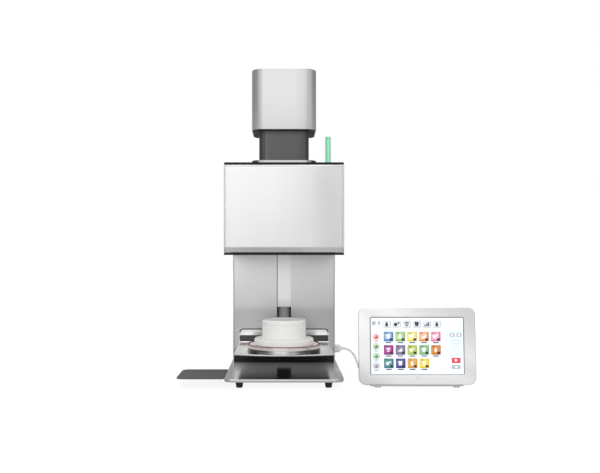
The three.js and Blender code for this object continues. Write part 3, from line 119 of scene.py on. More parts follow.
# %% Camera, with its shift as shares of the picture's width
picture_width = 600
camera_distance = 1488
horizon_height = 260.8
camera_data = bpy.data.cameras.new("front_camera")
camera_data.lens = 43.2
camera_data.shift_x = 16 / picture_width
camera_data.shift_y = 15.5 / picture_width
camera = placed("front_camera", camera_data)
camera.location = np.array([axis_x, axis_y - camera_distance, horizon_height]) * MM
camera.rotation_euler = (math.radians(90), 0, 0)
bpy.context.scene.camera = camera
bpy.context.scene.view_settings.view_transform = "Standard"
print("camera at", tuple(round(c, 4) for c in camera.location))

# %% [markdown]
# Finishes
# A finish is a small graph of nodes. Most surfaces here share one recipe: a noise in the object's own
# metres, stretched where the real surface is brushed, shifts the colour and the roughness a little and
# raises a fine relief. Only the shares differ from steel to lacquer to ceramic fibre. Values that are the
# same all over the surface are set on the shader itself.


# %% The tools for a finish
finishes = {}


def start_finish(name):
    """A new material, kept under its name, as a node tree and a shader."""
    finish = bpy.data.materials.new(name)
    finish.use_nodes = True
    finishes[name] = finish
    return finish.node_tree, finish.node_tree.nodes["Principled BSDF"]


def fill(tree, node, inputs):
    """Give a node's inputs plain values, or links to the outputs of other nodes."""
    for key, value in inputs.items():
        if isinstance(value, bpy.types.NodeSocket):
            tree.links.new(value, node.inputs[key])
        else:
            node.inputs[key].default_value = value
    return node


def add_node(tree, kind, inputs, **settings):
    """A new node with its settings and inputs."""
    node = tree.nodes.new(kind)
    for key, value in settings.items():
        setattr(node, key, value)
    return fill(tree, node, inputs)


def place_in(tree, kind="Object"):
    """The place on the surface, in the object's own metres."""
    return add_node(tree, "ShaderNodeTexCoord", {}).outputs[kind]


def noise_at(tree, place, scale, detail, **inputs):
    """A cloudy noise about 0.5 at a place."""
    inputs = {"Vector": place, "Scale": scale, "Detail": detail, **inputs}
    return add_node(tree, "ShaderNodeTexNoise", inputs).outputs["Fac"]


def reckon(tree, operation, *values):
    """The result of an operation such as ADD on numbers or outputs."""
    return add_node(tree, "ShaderNodeMath", dict(enumerate(values)), operation=operation).outputs[0]


def measured(tree, operation, *vectors):
    """The number that an operation such as LENGTH makes of vectors."""
    node = add_node(tree, "ShaderNodeVectorMath", dict(enumerate(vectors)), operation=operation)
    return node.outputs["Value"]


def ranged(tree, value, start, end, low, high, course="LINEAR"):
    """A value from start to end carried on to one from low to high, and held beyond both ends."""
    inputs = {"Value": value, "From Min": start, "From Max": end, "To Min": low, "To Max": high}
    return add_node(tree, "ShaderNodeMapRange", inputs, interpolation_type=course).outputs["Result"]


def spread(tree, noise, low, high):
    """A noise from 0.25 to 0.75 carried on to a value from low to high."""
    return ranged(tree, noise, 0.25, 0.75, low, high)


def two_tones(tree, factor, tones, stops=(0.3, 0.7)):
    """A ramp from the first tone to the second between two stops of the factor."""
    ramp = add_node(tree, "ShaderNodeValToRGB", {"Fac": factor})
    for element, tone, stop in zip(ramp.color_ramp.elements, tones, stops):
        element.color = (*tone, 1)
        element.position = stop
    return ramp.outputs["Color"]


def grey(level, warm=0.0):
    """A neutral tone of the given level, a touch warmer or cooler."""
    return (level + warm, level, level - warm)


def greys(low, high):
    """Two neutral tones."""
    return grey(low), grey(high)


# %% [markdown]
# Two recipes use these tools. A grained surface is tinted, roughened and raised by its noise, whose
# relief is given as strength and depth. A lit surface glows a little in its own tint.


# %% Recipes
def textured(tree, shader, height, relief, factor, tones, roughness, looks):
    """A relief of the height, with two tones and two values of roughness that the factor mixes."""
    inputs = {"Height": height, "Strength": relief[0], "Distance": relief[1] * MM}
    normal = add_node(tree, "ShaderNodeBump", inputs).outputs["Normal"]
    shades = {"Base Color": two_tones(tree, factor, tones), "Roughness": spread(tree, factor, *roughness)}
    fill(tree, shader, {**shades, "Normal": normal, **looks})


def grained(name, tones, roughness, grain, relief, metallic=0.0, coat=0.0, shine=0.5, slot=None):
    """Half the sum of a fine noise, at position times grain, and a broad one mixes the two tones and the
    two values of roughness. The fine noise is also the height of the relief."""
    tree, shader = start_finish(name)
    place = place_in(tree)
    stretched = add_node(tree, "ShaderNodeMapping", {"Vector": place, "Scale": grain}).outputs["Vector"]
    fine = noise_at(tree, stretched, 1.0, 4.0, Roughness=0.6)
    clouds = noise_at(tree, place, 14.0, 3.0)
    mixed = reckon(tree, "MULTIPLY", reckon(tree, "ADD", fine, clouds), 0.5)
    looks = {"Metallic": metallic, "Coat Weight": coat, "Specular IOR Level": shine}
    textured(tree, shader, fine, relief, mixed, tones, roughness, looks)


def lit(name, scale, detail, tones, glow, looks, roughness=None):
    """A tint from a noise between two tones, or from the mesh's own attribute without tones, colours the
    surface and its glow."""
    tree, shader = start_finish(name)
    noise = noise_at(tree, place_in(tree), scale, detail)
    if tones:
        tint = two_tones(tree, noise, tones)
    else:
        own = add_node(tree, "ShaderNodeAttribute", {}, attribute_name="tint", attribute_type="GEOMETRY")
        tint = own.outputs["Color"]
    fill(tree, shader, {"Base Color": tint, "Emission Color": tint, "Emission Strength": glow, **looks})
    if roughness:
        fill(tree, shader, {"Roughness": spread(tree, noise, *roughness)})


# %% [markdown]
# Sheet metal
# The head's front, the column and the lift plate are stainless steel with a fine grind. A grind is a
# bundle of parallel scratches, so its noise is short across them and long along them. The side sheets and
# the tower carry a fine silver lacquer, whose flakes make an even, cloudy sparkle instead of lines.

# %% Metals and lacquers
GRIND = ((0.3, 0.4), (14, 700, 1500), (0.12, 0.04))
FLAKES = ((0.36, 0.44), (1600, 1600, 1600), (0.06, 0.03))
POLISH = ((0.09, 0.15), (30, 900, 900), (0.03, 0.01))
grained("brushed_steel_sheet", greys(0.65, 0.72), *GRIND, metallic=1)
# the column's own lighter copy of the sheet steel, as painted light against the head's shadow on it
grained("brushed_column", greys(0.76, 0.84), *GRIND, metallic=1, slot="brushed_steel_sheet")
plate_finish = ((0.24, 0.34), (300, 900, 900), (0.15, 0.04))
grained("polished_plate", greys(0.84, 0.92), *plate_finish, metallic=1, slot="brushed_steel_sheet")
blind_finish = ((0.3, 0.36), (400, 400, 400), (0.02, 0.01))
grained("slot_silicone", greys(0.93, 0.97), *blind_finish, metallic=0.6, slot="pale_plastic")
grained("silver_lacquer", greys(0.6, 0.67), *FLAKES, metallic=0.75, coat=0.1)
# the silver lacquer again, kept apart for the tower's painted light and shade
grained("tower_lacquer", greys(0.6, 0.67), *FLAKES, metallic=0.75, coat=0.1, slot="silver_lacquer")
frame_finish = ((0.28, 0.36), (1600, 1600, 1600), (0.05, 0.03))
grained("satin_silver", greys(0.78, 0.85), *frame_finish, metallic=0.55, coat=0.1, slot="silver_lacquer")
band_finish = ((0.14, 0.22), (12, 900, 900), (0.03, 0.01))
grained("polished_band", greys(0.84, 0.9), *band_finish, metallic=1, slot="polished_steel")
tube_finish = ((0.26, 0.34), (900, 900, 40), (0.05, 0.03))
grained("satin_tube", greys(0.76, 0.82), *tube_finish, metallic=0.8, slot="polished_steel")
grained("polished_steel", greys(0.6, 0.67), *POLISH, metallic=1)
# a darker copy of the polished steel that carries the collar's painted shade
grained("polished_collar", greys(0.42, 0.48), *POLISH, metallic=1, slot="polished_steel")
grained("machined_steel", greys(0.32, 0.42), (0.28, 0.42), (500, 500, 90), (0.15, 0.05), metallic=1)
grained("black_lacquer", greys(0.006, 0.012), (0.34, 0.46), (1100, 1100, 1100), (0.2, 0.06), shine=0.15)
grained("anthracite_lacquer", greys(0.072, 0.1), (0.5, 0.6), (1500, 1500, 1500), (0.15, 0.04), shine=0.2)
neck_finish = ((0.36, 0.46), (1500, 1500, 1500), (0.15, 0.04))
# a copy of the anthracite lacquer that carries the neck's painted highlight and shade
grained("neck_lacquer", greys(0.085, 0.11), *neck_finish, metallic=0.55, slot="anthracite_lacquer")
grained("dark_anodised", greys(0.2, 0.28), (0.3, 0.42), (90, 600, 600), (0.1, 0.03), metallic=0.8)
sleeve_finish = ((0.4, 0.5), (90, 600, 600), (0.1, 0.03))
grained("pale_anodised", greys(0.28, 0.36), *sleeve_finish, metallic=0.3, slot="dark_anodised")
brass_tones = ((0.5, 0.34, 0.11), (0.6, 0.43, 0.17))
grained("brass", brass_tones, (0.22, 0.34), (400, 400, 60), (0.1, 0.04), metallic=1)
print("metals and lacquers:", ", ".join(finishes))

# %% [markdown]
# Ceramics, rubber and plastic
# Pressed ceramic fibre is matte and faintly mottled, and its relief is soft. Quartz is milky. The feet
# are plain black rubber. The plastics are moulded with a fine spark-eroded texture.

# %% Soft and moulded finishes
fibre_tones = ((0.8, 0.795, 0.78), (0.86, 0.86, 0.85))
grained("ceramic_fibre", fibre_tones, (0.75, 0.9), (420, 420, 420), (0.35, 0.12))
quartz_tones = ((0.74, 0.71, 0.65), (0.84, 0.81, 0.76))
grained("quartz", quartz_tones, (0.18, 0.32), (160, 160, 900), (0.15, 0.05), coat=0.4)
grained("foot_rubber", greys(0.012, 0.022), (0.7, 0.85), (900, 900, 900), (0.3, 0.08))
seal_tones = ((0.2, 0.052, 0.03), (0.3, 0.09, 0.055))
grained("seal_rubber", seal_tones, (0.45, 0.6), (700, 700, 700), (0.2, 0.05))
grained("black_plastic", greys(0.014, 0.022), (0.45, 0.6), (1400, 1400, 1400), (0.3, 0.05), shine=0.25)
grained("pale_plastic", greys(0.84, 0.9), (0.42, 0.52), (1300, 1300, 1300), (0.2, 0.04), coat=0.1)
grained("cable_plastic", greys(0.84, 0.9), (0.38, 0.5), (600, 600, 600), (0.15, 0.04))
board_tones = ((0.012, 0.07, 0.025), (0.02, 0.11, 0.04))
grained("circuit_board", board_tones, (0.3, 0.5), (350, 350, 350), (0.3, 0.06))
print("finishes so far:", len(finishes))

# %% [markdown]
# Some finishes carry painted light and shade: a ramp over the place multiplies the tone. The column is
# painted lighter under the head, against the head's shadow, with a soft painted step of dark reflection at
# the height of the closed chamber's table and painted shade at its foot under the lift plate. The blind in
# the slot is painted darker at its lower end, the cap's top face is painted lighter where the head keeps the
# light from it, and the panel's frame carries a painted diagonal sheen that darkens towards two corners.
# Head, tower, neck and collar carry painted highlights and painted dark reflections across their width, and
# the tower is painted lighter towards its foot.

# %% Painted light and shade over a piece
ACROSS, UP, ASLANT = (1, 0, 0), (0, 0, 1), (0.5, 0, 0.87)


def shaded_along(name, direction, start, levels):
    """Multiply a finish's tone by a ramp of levels, each at a distance from the start along the direction,
    which paints light and shade into the finish. The place's part along the direction is its dot product
    with it."""
    tree = finishes[name].node_tree
    shader = tree.nodes["Principled BSDF"]
    tone = shader.inputs["Base Color"].links[0].from_socket
    low, high = levels[0][0], levels[-1][0]
    reach = measured(tree, "DOT_PRODUCT", place_in(tree), direction)
    share = ranged(tree, reach, (start + low) * MM, (start + high) * MM, 0, 1)
    ramp = add_node(tree, "ShaderNodeValToRGB", {0: share})
    stops = ramp.color_ramp.elements
    for at, level in levels[1:-1]:
        stops.new((at - low) / (high - low)).color = (*grey(level), 1)
    for end in (0, -1):
        stops[end].color = (*grey(levels[end][1]), 1)
    tones = {0: 1.0, 1: tone, 2: ramp.outputs["Color"]}
    product = add_node(tree, "ShaderNodeMixRGB", tones, blend_type="MULTIPLY")
    fill(tree, shader, {"Base Color": product.outputs[0]})


# painted light and shade on the column: lighter under the head, a painted step of dark reflection at the
# table's height, deep painted shade at the foot under the lift plate, and a little darker to the right
column_levels = [(20, 0.12), (34, 0.34), (50, 0.68), (128, 0.62), (142, 0.76), (190, 0.85), (260, 1)]
shaded_along("brushed_column", UP, 0, column_levels)
shaded_along("brushed_column", ACROSS, axis_x, [(0, 1), (60, 0.94), (100, 0.92)])
# painted shade: the blind is darker over its lowest 20 mm above the carriage
shaded_along("slot_silicone", UP, span("lift_carriage")[1][2], [(0, 0.72), (6, 0.84), (20, 0.97), (50, 1)])
# painted light: the cap's top face is lighter, as light that the head above keeps from it
shaded_along("ceramic_fibre", UP, span("plinth_cap")[0][2], [(0, 1), (6.5, 1), (7.2, 1.13), (9, 1.13)])
# painted sheen: a diagonal band of light across the panel's frame, darker towards its lower left and upper
# right corners
frame_levels = [(0, 0.7), (22, 0.82), (42, 1), (75, 1.05), (110, 1.07), (130, 0.97), (153, 1.08)]
frame_levels += [(188, 0.9), (242, 0.77)]
shaded_along("satin_silver", ASLANT, np.dot(span("panel_frame")[0], ASLANT), frame_levels)
# painted light: the head's front is lighter towards both sides, most on the left
head_levels = [(-115, 1.16), (-100, 1.13), (-76, 1.03), (-50, 0.98), (0, 0.98), (30, 1.05), (50, 1.12)]
head_levels += [(115, 1.1)]
shaded_along("brushed_steel_sheet", ACROSS, axis_x, head_levels)
# painted dark reflections near the tower's rounded corners, and painted light towards its foot
tower_levels = [(-62.5, 0.85), (-57, 0.85), (-52, 0.72), (-48, 0.66), (-45.5, 0.7), (-41.5, 0.94)]
tower_levels += [(20, 0.98), (40, 0.9), (46, 0.77), (50, 0.78), (56, 0.95), (62.5, 0.9)]
shaded_along("tower_lacquer", ACROSS, axis_x, tower_levels)
tower_foot, tower_top = span("tower_shell")[:, 2]
shaded_along("tower_lacquer", UP, tower_foot, [(0, 1.14), (tower_top - tower_foot, 0.98)])
# painted highlight line and painted dark band at the neck's left corner, and painted shade at its right
# corner
neck_levels = [(-48, 0.9), (-43, 0.88), (-40.5, 0.61), (-38.2, 0.6), (-36.4, 1.1), (-34.4, 1.3), (-32.2, 1)]
neck_levels += [(30, 0.97), (36, 0.8), (48, 0.85)]
shaded_along("neck_lacquer", ACROSS, axis_x, neck_levels)
# painted dark reflections at the collar's rounded ends
collar_levels = [(-70, 0.5), (-50, 0.62), (-35, 0.83), (35, 0.83), (50, 0.62), (70, 0.5)]
shaded_along("polished_collar", ACROSS, axis_x, collar_levels)
print("eight finishes change over their piece")

# %% [markdown]
# The cable
# A light cable leaves the plug in the column's side, comes down in one curve and runs along the bench
# behind the panel. What the panel hides of its length is wound into a small coil of four turns in two
# layers, and the cable then rises into the stand. A curve with a round section is the natural way to make
# it, because its line is the cable's own centreline. The route is given about the chamber's axis, with
# the bench at zero.

# %% The cable's route
cable_diameter = 4.8
rest_height = 2.5
cable_route = [(130.3, 150, 41.7), (138, 150, 41.5), (147.9, 150, 37.9), (155.8, 149.8, 31.6)]
cable_route += [(161.6, 148.8, 22.8), (165.2, 145.6, 13.9), (167, 139.4, 7), (167.4, 130.6, 3.4)]
cable_route += [(167.6, 121, rest_height), (169.2, 110.5, rest_height), (174, 100.4, rest_height)]
cable_route += [(181.4, 91.4, rest_height), (188.6, 83.4, rest_height), (193.6, 76.4, rest_height)]
tail_route = [(196.4, 48, 7.9), (199.4, 38, 8.7), (204.6, 28.8, 9.9), (210.4, 20.6, 11.2)]


def coil_line(turns=4, centre=(228, 62), outer_radius=32.4, pitch=5.4, layer=5.3):
    """Two layers of a flat spiral: the radius shrinks by the pitch on each turn to the middle turn and
    grows again, and the height climbs by one layer, along 3 s^2 - 2 s^3, within a quarter turn of where
    the spiral reverses."""
    turn = np.arange(turns * 24 + 1) / 24
    radius = outer_radius - pitch * np.minimum(turn, turns - turn)
    share = np.clip((turn - turns / 2 + 0.25) / 0.5, 0, 1)
    height = rest_height + layer * share * share * (3 - 2 * share)
    angle = np.pi * (1 + 2 * turn)
    return np.stack([centre[0] + radius * np.cos(angle), centre[1] + radius * np.sin(angle), height], 1)


wound = coil_line()
straight = np.array([0, cable_diameter, 0])
face_gap = np.array([0, 0.3, 0])
ahead = straight + face_gap
stand_face = middle("cable_far_plug") - [axis_x, axis_y, 0]
stand_face[1] = span("cable_far_plug")[1][1] - axis_y
entry = [wound[0] + straight + ahead, wound[0] + straight]
leaving = [wound[-1] - straight, wound[-1] - straight - ahead]
cable_end = [stand_face + 2 * straight, stand_face + face_gap]
cable_line = np.vstack([cable_route, entry, wound, leaving, tail_route, cable_end])
cable_points = (cable_line + [axis_x, axis_y, 0]) * MM
print(len(cable_points), "points along the cable")

# %% The cable as a round curve
cable_data = bpy.data.curves.new("control_cable_sheath", "CURVE")
cable_data.dimensions = "3D"
cable_data.bevel_depth = cable_diameter / 2 * MM
cable_data.bevel_resolution = 5
cable_data.resolution_u = 5
cable_data.use_fill_caps = True
# each handle lies a third of the way to its neighbour, along the heading from the point before to the next
heading = unit(np.gradient(cable_points, axis=0))
stretches = np.linalg.norm(np.diff(cable_points, axis=0), axis=1, keepdims=True) / 3
handle_left = cable_points - heading * np.vstack([stretches[:1], stretches])
handle_right = cable_points + heading * np.vstack([stretches, stretches[-1:]])
spline = cable_data.splines.new("BEZIER")
spline.bezier_points.add(len(cable_points) - 1)
for part, places in (("co", cable_points), ("handle_left", handle_left), ("handle_right", handle_right)):
    spline.bezier_points.foreach_set(part, places.astype(np.float32).ravel())
cable_data.materials.append(finishes["cable_plastic"])
cable = placed("control_cable_sheath", cable_data)
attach(cable, "furnace")
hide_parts("control_cable", "cable_coil", "control_cable_tail")
print("cable", cable_diameter, "mm thick")

# %% [markdown]
# The tools for a shape
# Every new piece is worked out as whole arrays of points. A line is rounded at its corners, and then it
# is either turned about an axis, or carried round an outline, or joined to the next line of a stack. A
# grid of quads closes the points to a surface, and flat ends get one face each. Where a rounding meets a
# flat face, one more line of points is laid just inside the flat, so that the shading of the rounding
# doesn't run across it.


# %% Lines
def soften(corners, reach, steps=5):
    """Round the corners of a closed line. Each corner c gives way to (1-t)^2 a + 2t(1-t) c + t^2 b, where
    a and b lie on its two sides, at the reach from it or at most 0.42 of the side, with one more point
    beyond each. Points that repeat the one before them are dropped."""
    corners = np.asarray(corners, float)
    sides = [np.roll(corners, shift, axis=0) - corners for shift in (1, -1)]
    lengths = [np.maximum(np.linalg.norm(side, axis=1, keepdims=True), 1e-9) for side in sides]
    wanted = np.broadcast_to(np.asarray(reach, float), len(corners))[:, None]
    ends = [side / length * np.minimum(wanted, 0.42 * length) for side, length in zip(sides, lengths)]
    t = np.linspace(0, 1, steps + 1)[None, :, None]
    a, b, c = (corners + ends[0])[:, None], (corners + ends[1])[:, None], corners[:, None]
    arc = (1 - t) ** 2 * a + 2 * t * (1 - t) * c + t**2 * b
    before = (corners + 1.15 * ends[0])[:, None]
    after = (corners + 1.15 * ends[1])[:, None]
    line = np.concatenate([before, arc, after], axis=1).reshape(-1, 2)
    return line[np.linalg.norm(line - np.roll(line, 1, axis=0), axis=1) > 1e-4]


def inset(outline, distance):
    """Move a closed line inwards: each point goes along the mitre m of its two sides' inward normals, by
    the distance divided by the cosine between m and a side's normal."""
    ahead = unit(np.roll(outline, -1, axis=0) - outline)
    normal = np.stack([-ahead[:, 1], ahead[:, 0]], 1)
    mitre = unit(normal + np.roll(normal, 1, axis=0))
    return outline + distance * mitre / (mitre * normal).sum(1, keepdims=True)


def round_corners(width, depth, radius, centre=(0, 0), steps=10):
    """A rectangle, anticlockwise, whose corners are quarter circles: each corner's centre plus the radius
    times (cos a, sin a)."""
    angle = (np.arange(4)[:, None] * np.pi / 2 + np.linspace(0, np.pi / 2, steps + 1)).ravel()
    side_x = np.repeat([1, -1, -1, 1], steps + 1)
    side_y = np.repeat([1, 1, -1, -1], steps + 1)
    x = centre[0] + side_x * (width / 2 - radius) + radius * np.cos(angle)
    y = centre[1] + side_y * (depth / 2 - radius) + radius * np.sin(angle)
    return np.stack([x, y], 1)


def around(sides):
    """The angles of a full turn, in equal steps."""
    return np.linspace(0, 2 * np.pi, sides, endpoint=False)


def circle(x, z, radius, sides=24):
    """Points on a circle about (x, z)."""
    angle = around(sides)
    return np.stack([x + radius * np.cos(angle), z + radius * np.sin(angle)], 1)


# %% Surfaces
def weave(rows, columns, close_rows=False):
    """The quads of a grid of points, row by row, each joining point (i, j) to its neighbours in the next
    column and the next row. Each row is a ring."""
    i, j = np.meshgrid(np.arange(rows if close_rows else rows - 1), np.arange(columns), indexing="ij")
    below, beside = (i + 1) % rows, (j + 1) % columns
    corners = [i * columns + j, i * columns + beside, below * columns + beside, below * columns + j]
    return np.stack(corners, -1).reshape(-1, 4).tolist()


def stand_up(points, along):
    """Put the three numbers (u, v, height) of each point in the order that makes the height run along an
    axis."""
    return points[..., {"z": [0, 1, 2], "x": [2, 0, 1], "y": [0, 2, 1]}[along]]


def lofted(lines, joined=False):
    """A stack of closed lines with equally many points. It is closed by a face at each end, or joined to
    a ring."""
    points = np.array(lines, float)
    rows, columns = points.shape[:2]
    faces = weave(rows, columns, joined)
    if not joined:
        faces += [list(range(columns))[::-1], list(range((rows - 1) * columns, rows * columns))]
    return points.reshape(-1, 3), faces


def turned(profile, centre, along="z", sides=96, round_to=0.0):
    """A profile of (r, h) turned about an axis: (r cos a, r sin a, h) for a from 0 to a full turn."""
    profile = np.asarray(profile, float)
    line = soften(profile, np.where(profile[:, 0] == 0, 0, round_to)) if round_to else profile
    angle = around(sides)
    radius, height = line[:, :1], np.repeat(line[:, 1:], sides, axis=1)
    points = stand_up(np.stack([radius * np.cos(angle), radius * np.sin(angle), height], -1), along)
    hollow = not (line[0, 0] == 0 and line[-1, 0] == 0)
    return points.reshape(-1, 3) + centre, weave(len(line), sides, hollow)


def walled(outline, profile, along="z", joined=False):
    """A profile of (inset, height) pairs carried round an outline."""
    level = np.ones(len(outline))
    lines = [np.column_stack([inset(outline, away), height * level]) for away, height in profile]
    return lofted(stand_up(np.array(lines), along), joined)


def slab(outline, low, high, edge, along="z", steps=3):
    """An outline made a plate with quarter-round rims: at angle a of the rim its inset is edge (1 - sin
    a) and its height edge (1 - cos a)."""
    angle = np.linspace(0, np.pi / 2, steps + 1)
    away = np.concatenate([[1.5 * edge], edge * (1 - np.sin(angle))])
    rise = np.concatenate([[0], edge * (1 - np.cos(angle))])
    return walled(outline, [*zip(away, low + rise), *zip(away[::-1], high - rise[::-1])], along)


def together(*shapes):
    """Several shapes as one: their points in one list, and the numbers in their faces counted on."""
    faces = []
    count = 0
    for points, own_faces in shapes:
        faces += [[corner + count for corner in face] for face in own_faces]
        count += len(points)
    return np.concatenate([points for points, _ in shapes]), faces


# %% [markdown]
# From a shape to a piece
# A piece is a mesh that rides on one of the frame's bodies. Doubled points are merged and the faces
# turned outwards first, and then edges sharper than a set angle stay crisp while the rest is shaded
# smooth. Each piece prints its name, its size and its number of faces when it is made.


# %% Pieces
def reworked(mesh, work):
    """The mesh after some work on it as a bmesh, with every face turned outwards."""
    shape = bmesh.new()
    shape.from_mesh(mesh)
    work(shape)
    bmesh.ops.recalc_face_normals(shape, faces=shape.faces)
    shape.to_mesh(mesh)
    shape.free()
    return mesh


def mesh_of(name, shape, weld=2e-6):
    """A mesh of the shape in metres. Points closer than the weld are merged and faces without area
    dropped."""
    mesh = bpy.data.meshes.new(name)
    mesh.from_pydata((shape[0] * MM).tolist(), [], shape[1])

    def merge(made):
        if weld:
            bmesh.ops.remove_doubles(made, verts=made.verts, dist=weld)
            bmesh.ops.dissolve_degenerate(made, edges=made.edges, dist=1e-7)

    return reworked(mesh, merge)


def dressed(name, mesh, finish, stands_for, body, crisp):
    """An object of the mesh, with its finish, its body and the solids that it stands for."""
    mesh.polygons.foreach_set("use_smooth", [True] * len(mesh.polygons))
    mesh.set_sharp_from_angle(angle=math.radians(crisp))
    mesh.materials.clear()
    mesh.materials.append(finishes[finish])
    made = placed(name, mesh)
    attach(made, body)
    if stands_for:
        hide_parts(*stands_for)
    size = ", ".join(f"{number / MM:.1f}" for number in made.dimensions)
    print(f"{name}: {size} mm, {len(mesh.polygons)} faces")
    return made


def piece(name, shape, finish, *stands_for, body="furnace", crisp=38, weld=2e-6):
    """An object of the shape in a finish, which rides on a body and may stand for solids."""
    return dressed(name, mesh_of(name, shape, weld), finish, stands_for, body, crisp)


def round_edges(made, width, limit):
    """Round the edges that are sharper than the limit, with a bevel modifier."""
    rounding = made.modifiers.new("rounded_edges", "BEVEL")
    rounding.width = width * MM
    rounding.segments = 2
    rounding.angle_limit = math.radians(limit)
    rounding.harden_normals = True


def edged_copy(name, node, finish, edge, body="furnace"):
    """A copy of a solid with merged points, no edges inside flat faces and rounded edges."""
    def merge(shape):
        bmesh.ops.remove_doubles(shape, verts=shape.verts, dist=5e-6)
        bmesh.ops.dissolve_limit(shape, angle_limit=math.radians(0.5), verts=shape.verts, edges=shape.edges)

    mesh = reworked(frame["nodes"][node].data.copy(), merge)
    mesh.name = name
    round_edges(dressed(name, mesh, finish, [node], body, 35), edge, 40)


# %% [markdown]
# The cable's two ends
# Each end has a moulded plug with grip grooves and a tapered sleeve that keeps the cable from kinking
# where it leaves. Both are turned or lofted round the cable's first straight stretch.

# %% Plugs and sleeves
plug_middle = middle("cable_plug")
plug_end = span("cable_plug")[1][0]
plug_foot = plug_end - 14.7
groove = ((0, 0), (0.3, 0.45), (1.1, 0.45), (1.4, 0))
plug_steps = [(0, 0.9), (0.25, 0.3), (0.9, 0)]
plug_steps += [(start + at, depth) for start in (2.6, 5, 7.4) for at, depth in groove]
plug_steps += [(10, 0), (11, 0.5), (13.8, 3.2), (14.7, 4.4)]
plug_outline = round_corners(17, 17, 3.4, plug_middle[1:], steps=6)
plug_shape = walled(plug_outline, [(depth, plug_foot + at) for at, depth in plug_steps], "x")
column_plug = piece("column_plug", plug_shape, "pale_plastic", "cable_plug")
sleeve_line = [(2.4, 0), (3.9, 0), (3.9, 1), (3.3, 1.3), (3.7, 2.2), (3.1, 2.6), (3.5, 3.5), (2.95, 3.9)]
sleeve_line += [(3.3, 4.8), (2.8, 5.2), (3.1, 6.1), (2.7, 6.5), (2.8, 8.2), (2.4, 8.2)]
sleeve_shape = turned(sleeve_line, (plug_end - 0.6, *plug_middle[1:]), "x", 32)
column_sleeve = piece("column_plug_sleeve", sleeve_shape, "pale_plastic")
stand_steps = [(0, -8.5), (3.1, -8.5), (3.1, 0), (5.5, 0), (5.5, 2.6), (5.1, 3), (5.1, 4), (5.5, 4.4)]
stand_steps += [(5.5, 5.6), (5.1, 6), (5.1, 7), (5.5, 7.4), (5.5, 11), (3.3, 16), (0, 16)]
stand_x, stand_y, stand_z = stand_face + [axis_x, axis_y, 0]
stand_shape = turned(stand_steps, (stand_x, stand_y - 16, stand_z), "y", 48, 0.3)
stand_plug = piece("stand_plug", stand_shape, "pale_plastic", "cable_far_plug")
sleeve_shape = turned(sleeve_line, (stand_x, stand_y - 0.6, stand_z), "y", 32)
stand_sleeve = piece("stand_plug_sleeve", sleeve_shape, "pale_plastic")

# %% [markdown]
# The bench and the light
# The floor is a pale plane that keeps the shadow but shows nearly white, because camera rays meet a part
# of plain white in it, which grows with the distance. The world does the same: it is white to the camera
# and to glass, and a softer white as a light. To gloss it is darker at the sides and straight behind the
# furnace, as a room is. Large soft lamps stand in front, and one hangs behind.

# %% World
PLAIN_WHITE = (1, 1, 1, 1)


def rays_of(tree):
    """One for rays from the camera or through glass, and one for mirrored rays."""
    ray = add_node(tree, "ShaderNodeLightPath", {}).outputs
    seen = reckon(tree, "MAXIMUM", ray["Is Camera Ray"], ray["Is Transmission Ray"])
    return seen, ray["Is Glossy Ray"]


world = bpy.data.worlds.new("white_studio")
world.use_nodes = True
bpy.context.scene.world = world
sky = world.node_tree
direction = add_node(sky, "ShaderNodeSeparateXYZ", {0: place_in(sky, "Generated")}).outputs
sideways = reckon(sky, "ABSOLUTE", reckon(sky, "ADD", direction[0], 0.12))
wall_level = ranged(sky, sideways, 0.2, 0.81, 1.0, 0.17, "SMOOTHSTEP")
back_level = ranged(sky, direction[1], 0.8, 0.97, 1.0, 0.4, "SMOOTHSTEP")
seen, mirrored = rays_of(sky)
sky_light = ranged(sky, mirrored, 0, 1, 0.75, reckon(sky, "MULTIPLY", wall_level, back_level))
sky_level = ranged(sky, seen, 0, 1, sky_light, 1.0)
fill(sky, sky.nodes["Background"], {"Color": PLAIN_WHITE, "Strength": sky_level})
print("world", world.name)

# %% Floor, in metres
floor_tree, floor_shader = start_finish("pale_floor")
fill(floor_tree, floor_shader, {"Base Color": (0.9, 0.9, 0.9, 1), "Roughness": 0.16})
seen, mirrored = rays_of(floor_tree)
far_glow = ranged(floor_tree, measured(floor_tree, "LENGTH", place_in(floor_tree)), 0.6, 1.6, 1.14, 1.34)
glow = ranged(floor_tree, mirrored, 0, 1, far_glow, 0.46)
plain_white = add_node(floor_tree, "ShaderNodeEmission", {"Color": PLAIN_WHITE, "Strength": glow}).outputs[0]
gloss_share = ranged(floor_tree, mirrored, 0, 1, 0.0, 0.7)
share = ranged(floor_tree, seen, 0, 1, gloss_share, 0.76)
halves = {0: share, 1: floor_shader.outputs[0], 2: plain_white}
blended = add_node(floor_tree, "ShaderNodeMixShader", halves).outputs[0]
fill(floor_tree, floor_tree.nodes["Material Output"], {"Surface": blended})
floor_edge = round_corners(14, 14, 1)
floor_points = np.column_stack([floor_edge, np.zeros(len(floor_edge))])
floor_mesh = bpy.data.meshes.new("bench_floor")
floor_mesh.from_pydata(floor_points.tolist(), [], [list(range(len(floor_points)))])
floor_mesh.materials.append(finishes["pale_floor"])
bench_floor = placed("bench_floor", floor_mesh)
bench_floor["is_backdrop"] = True
print("floor", tuple(bench_floor.dimensions))


# %% Lamps, in metres and watts
def aimed(direction):
    """The turn that points a lamp's -Z along a direction: it tips up from straight down by the angle
    between the direction and the plumb line, and then swings round to the side."""
    flat = math.hypot(direction[0], direction[1])
    return (math.atan2(flat, -direction[2]), 0, math.atan2(-direction[0], direction[1]))


def soft_lamp(name, place, size, power, mirrored=True):
    """A square lamp that looks at the middle of the furnace, and may be kept out of the reflections."""
    data = bpy.data.lights.new(name, "AREA")
    data.size = size
    data.energy = power
    lamp = placed(name, data)
    lamp.location = place
    lamp.rotation_euler = aimed(np.array([0, 0, 0.3]) - place)
    lamp.visible_camera = False
    lamp.visible_glossy = mirrored


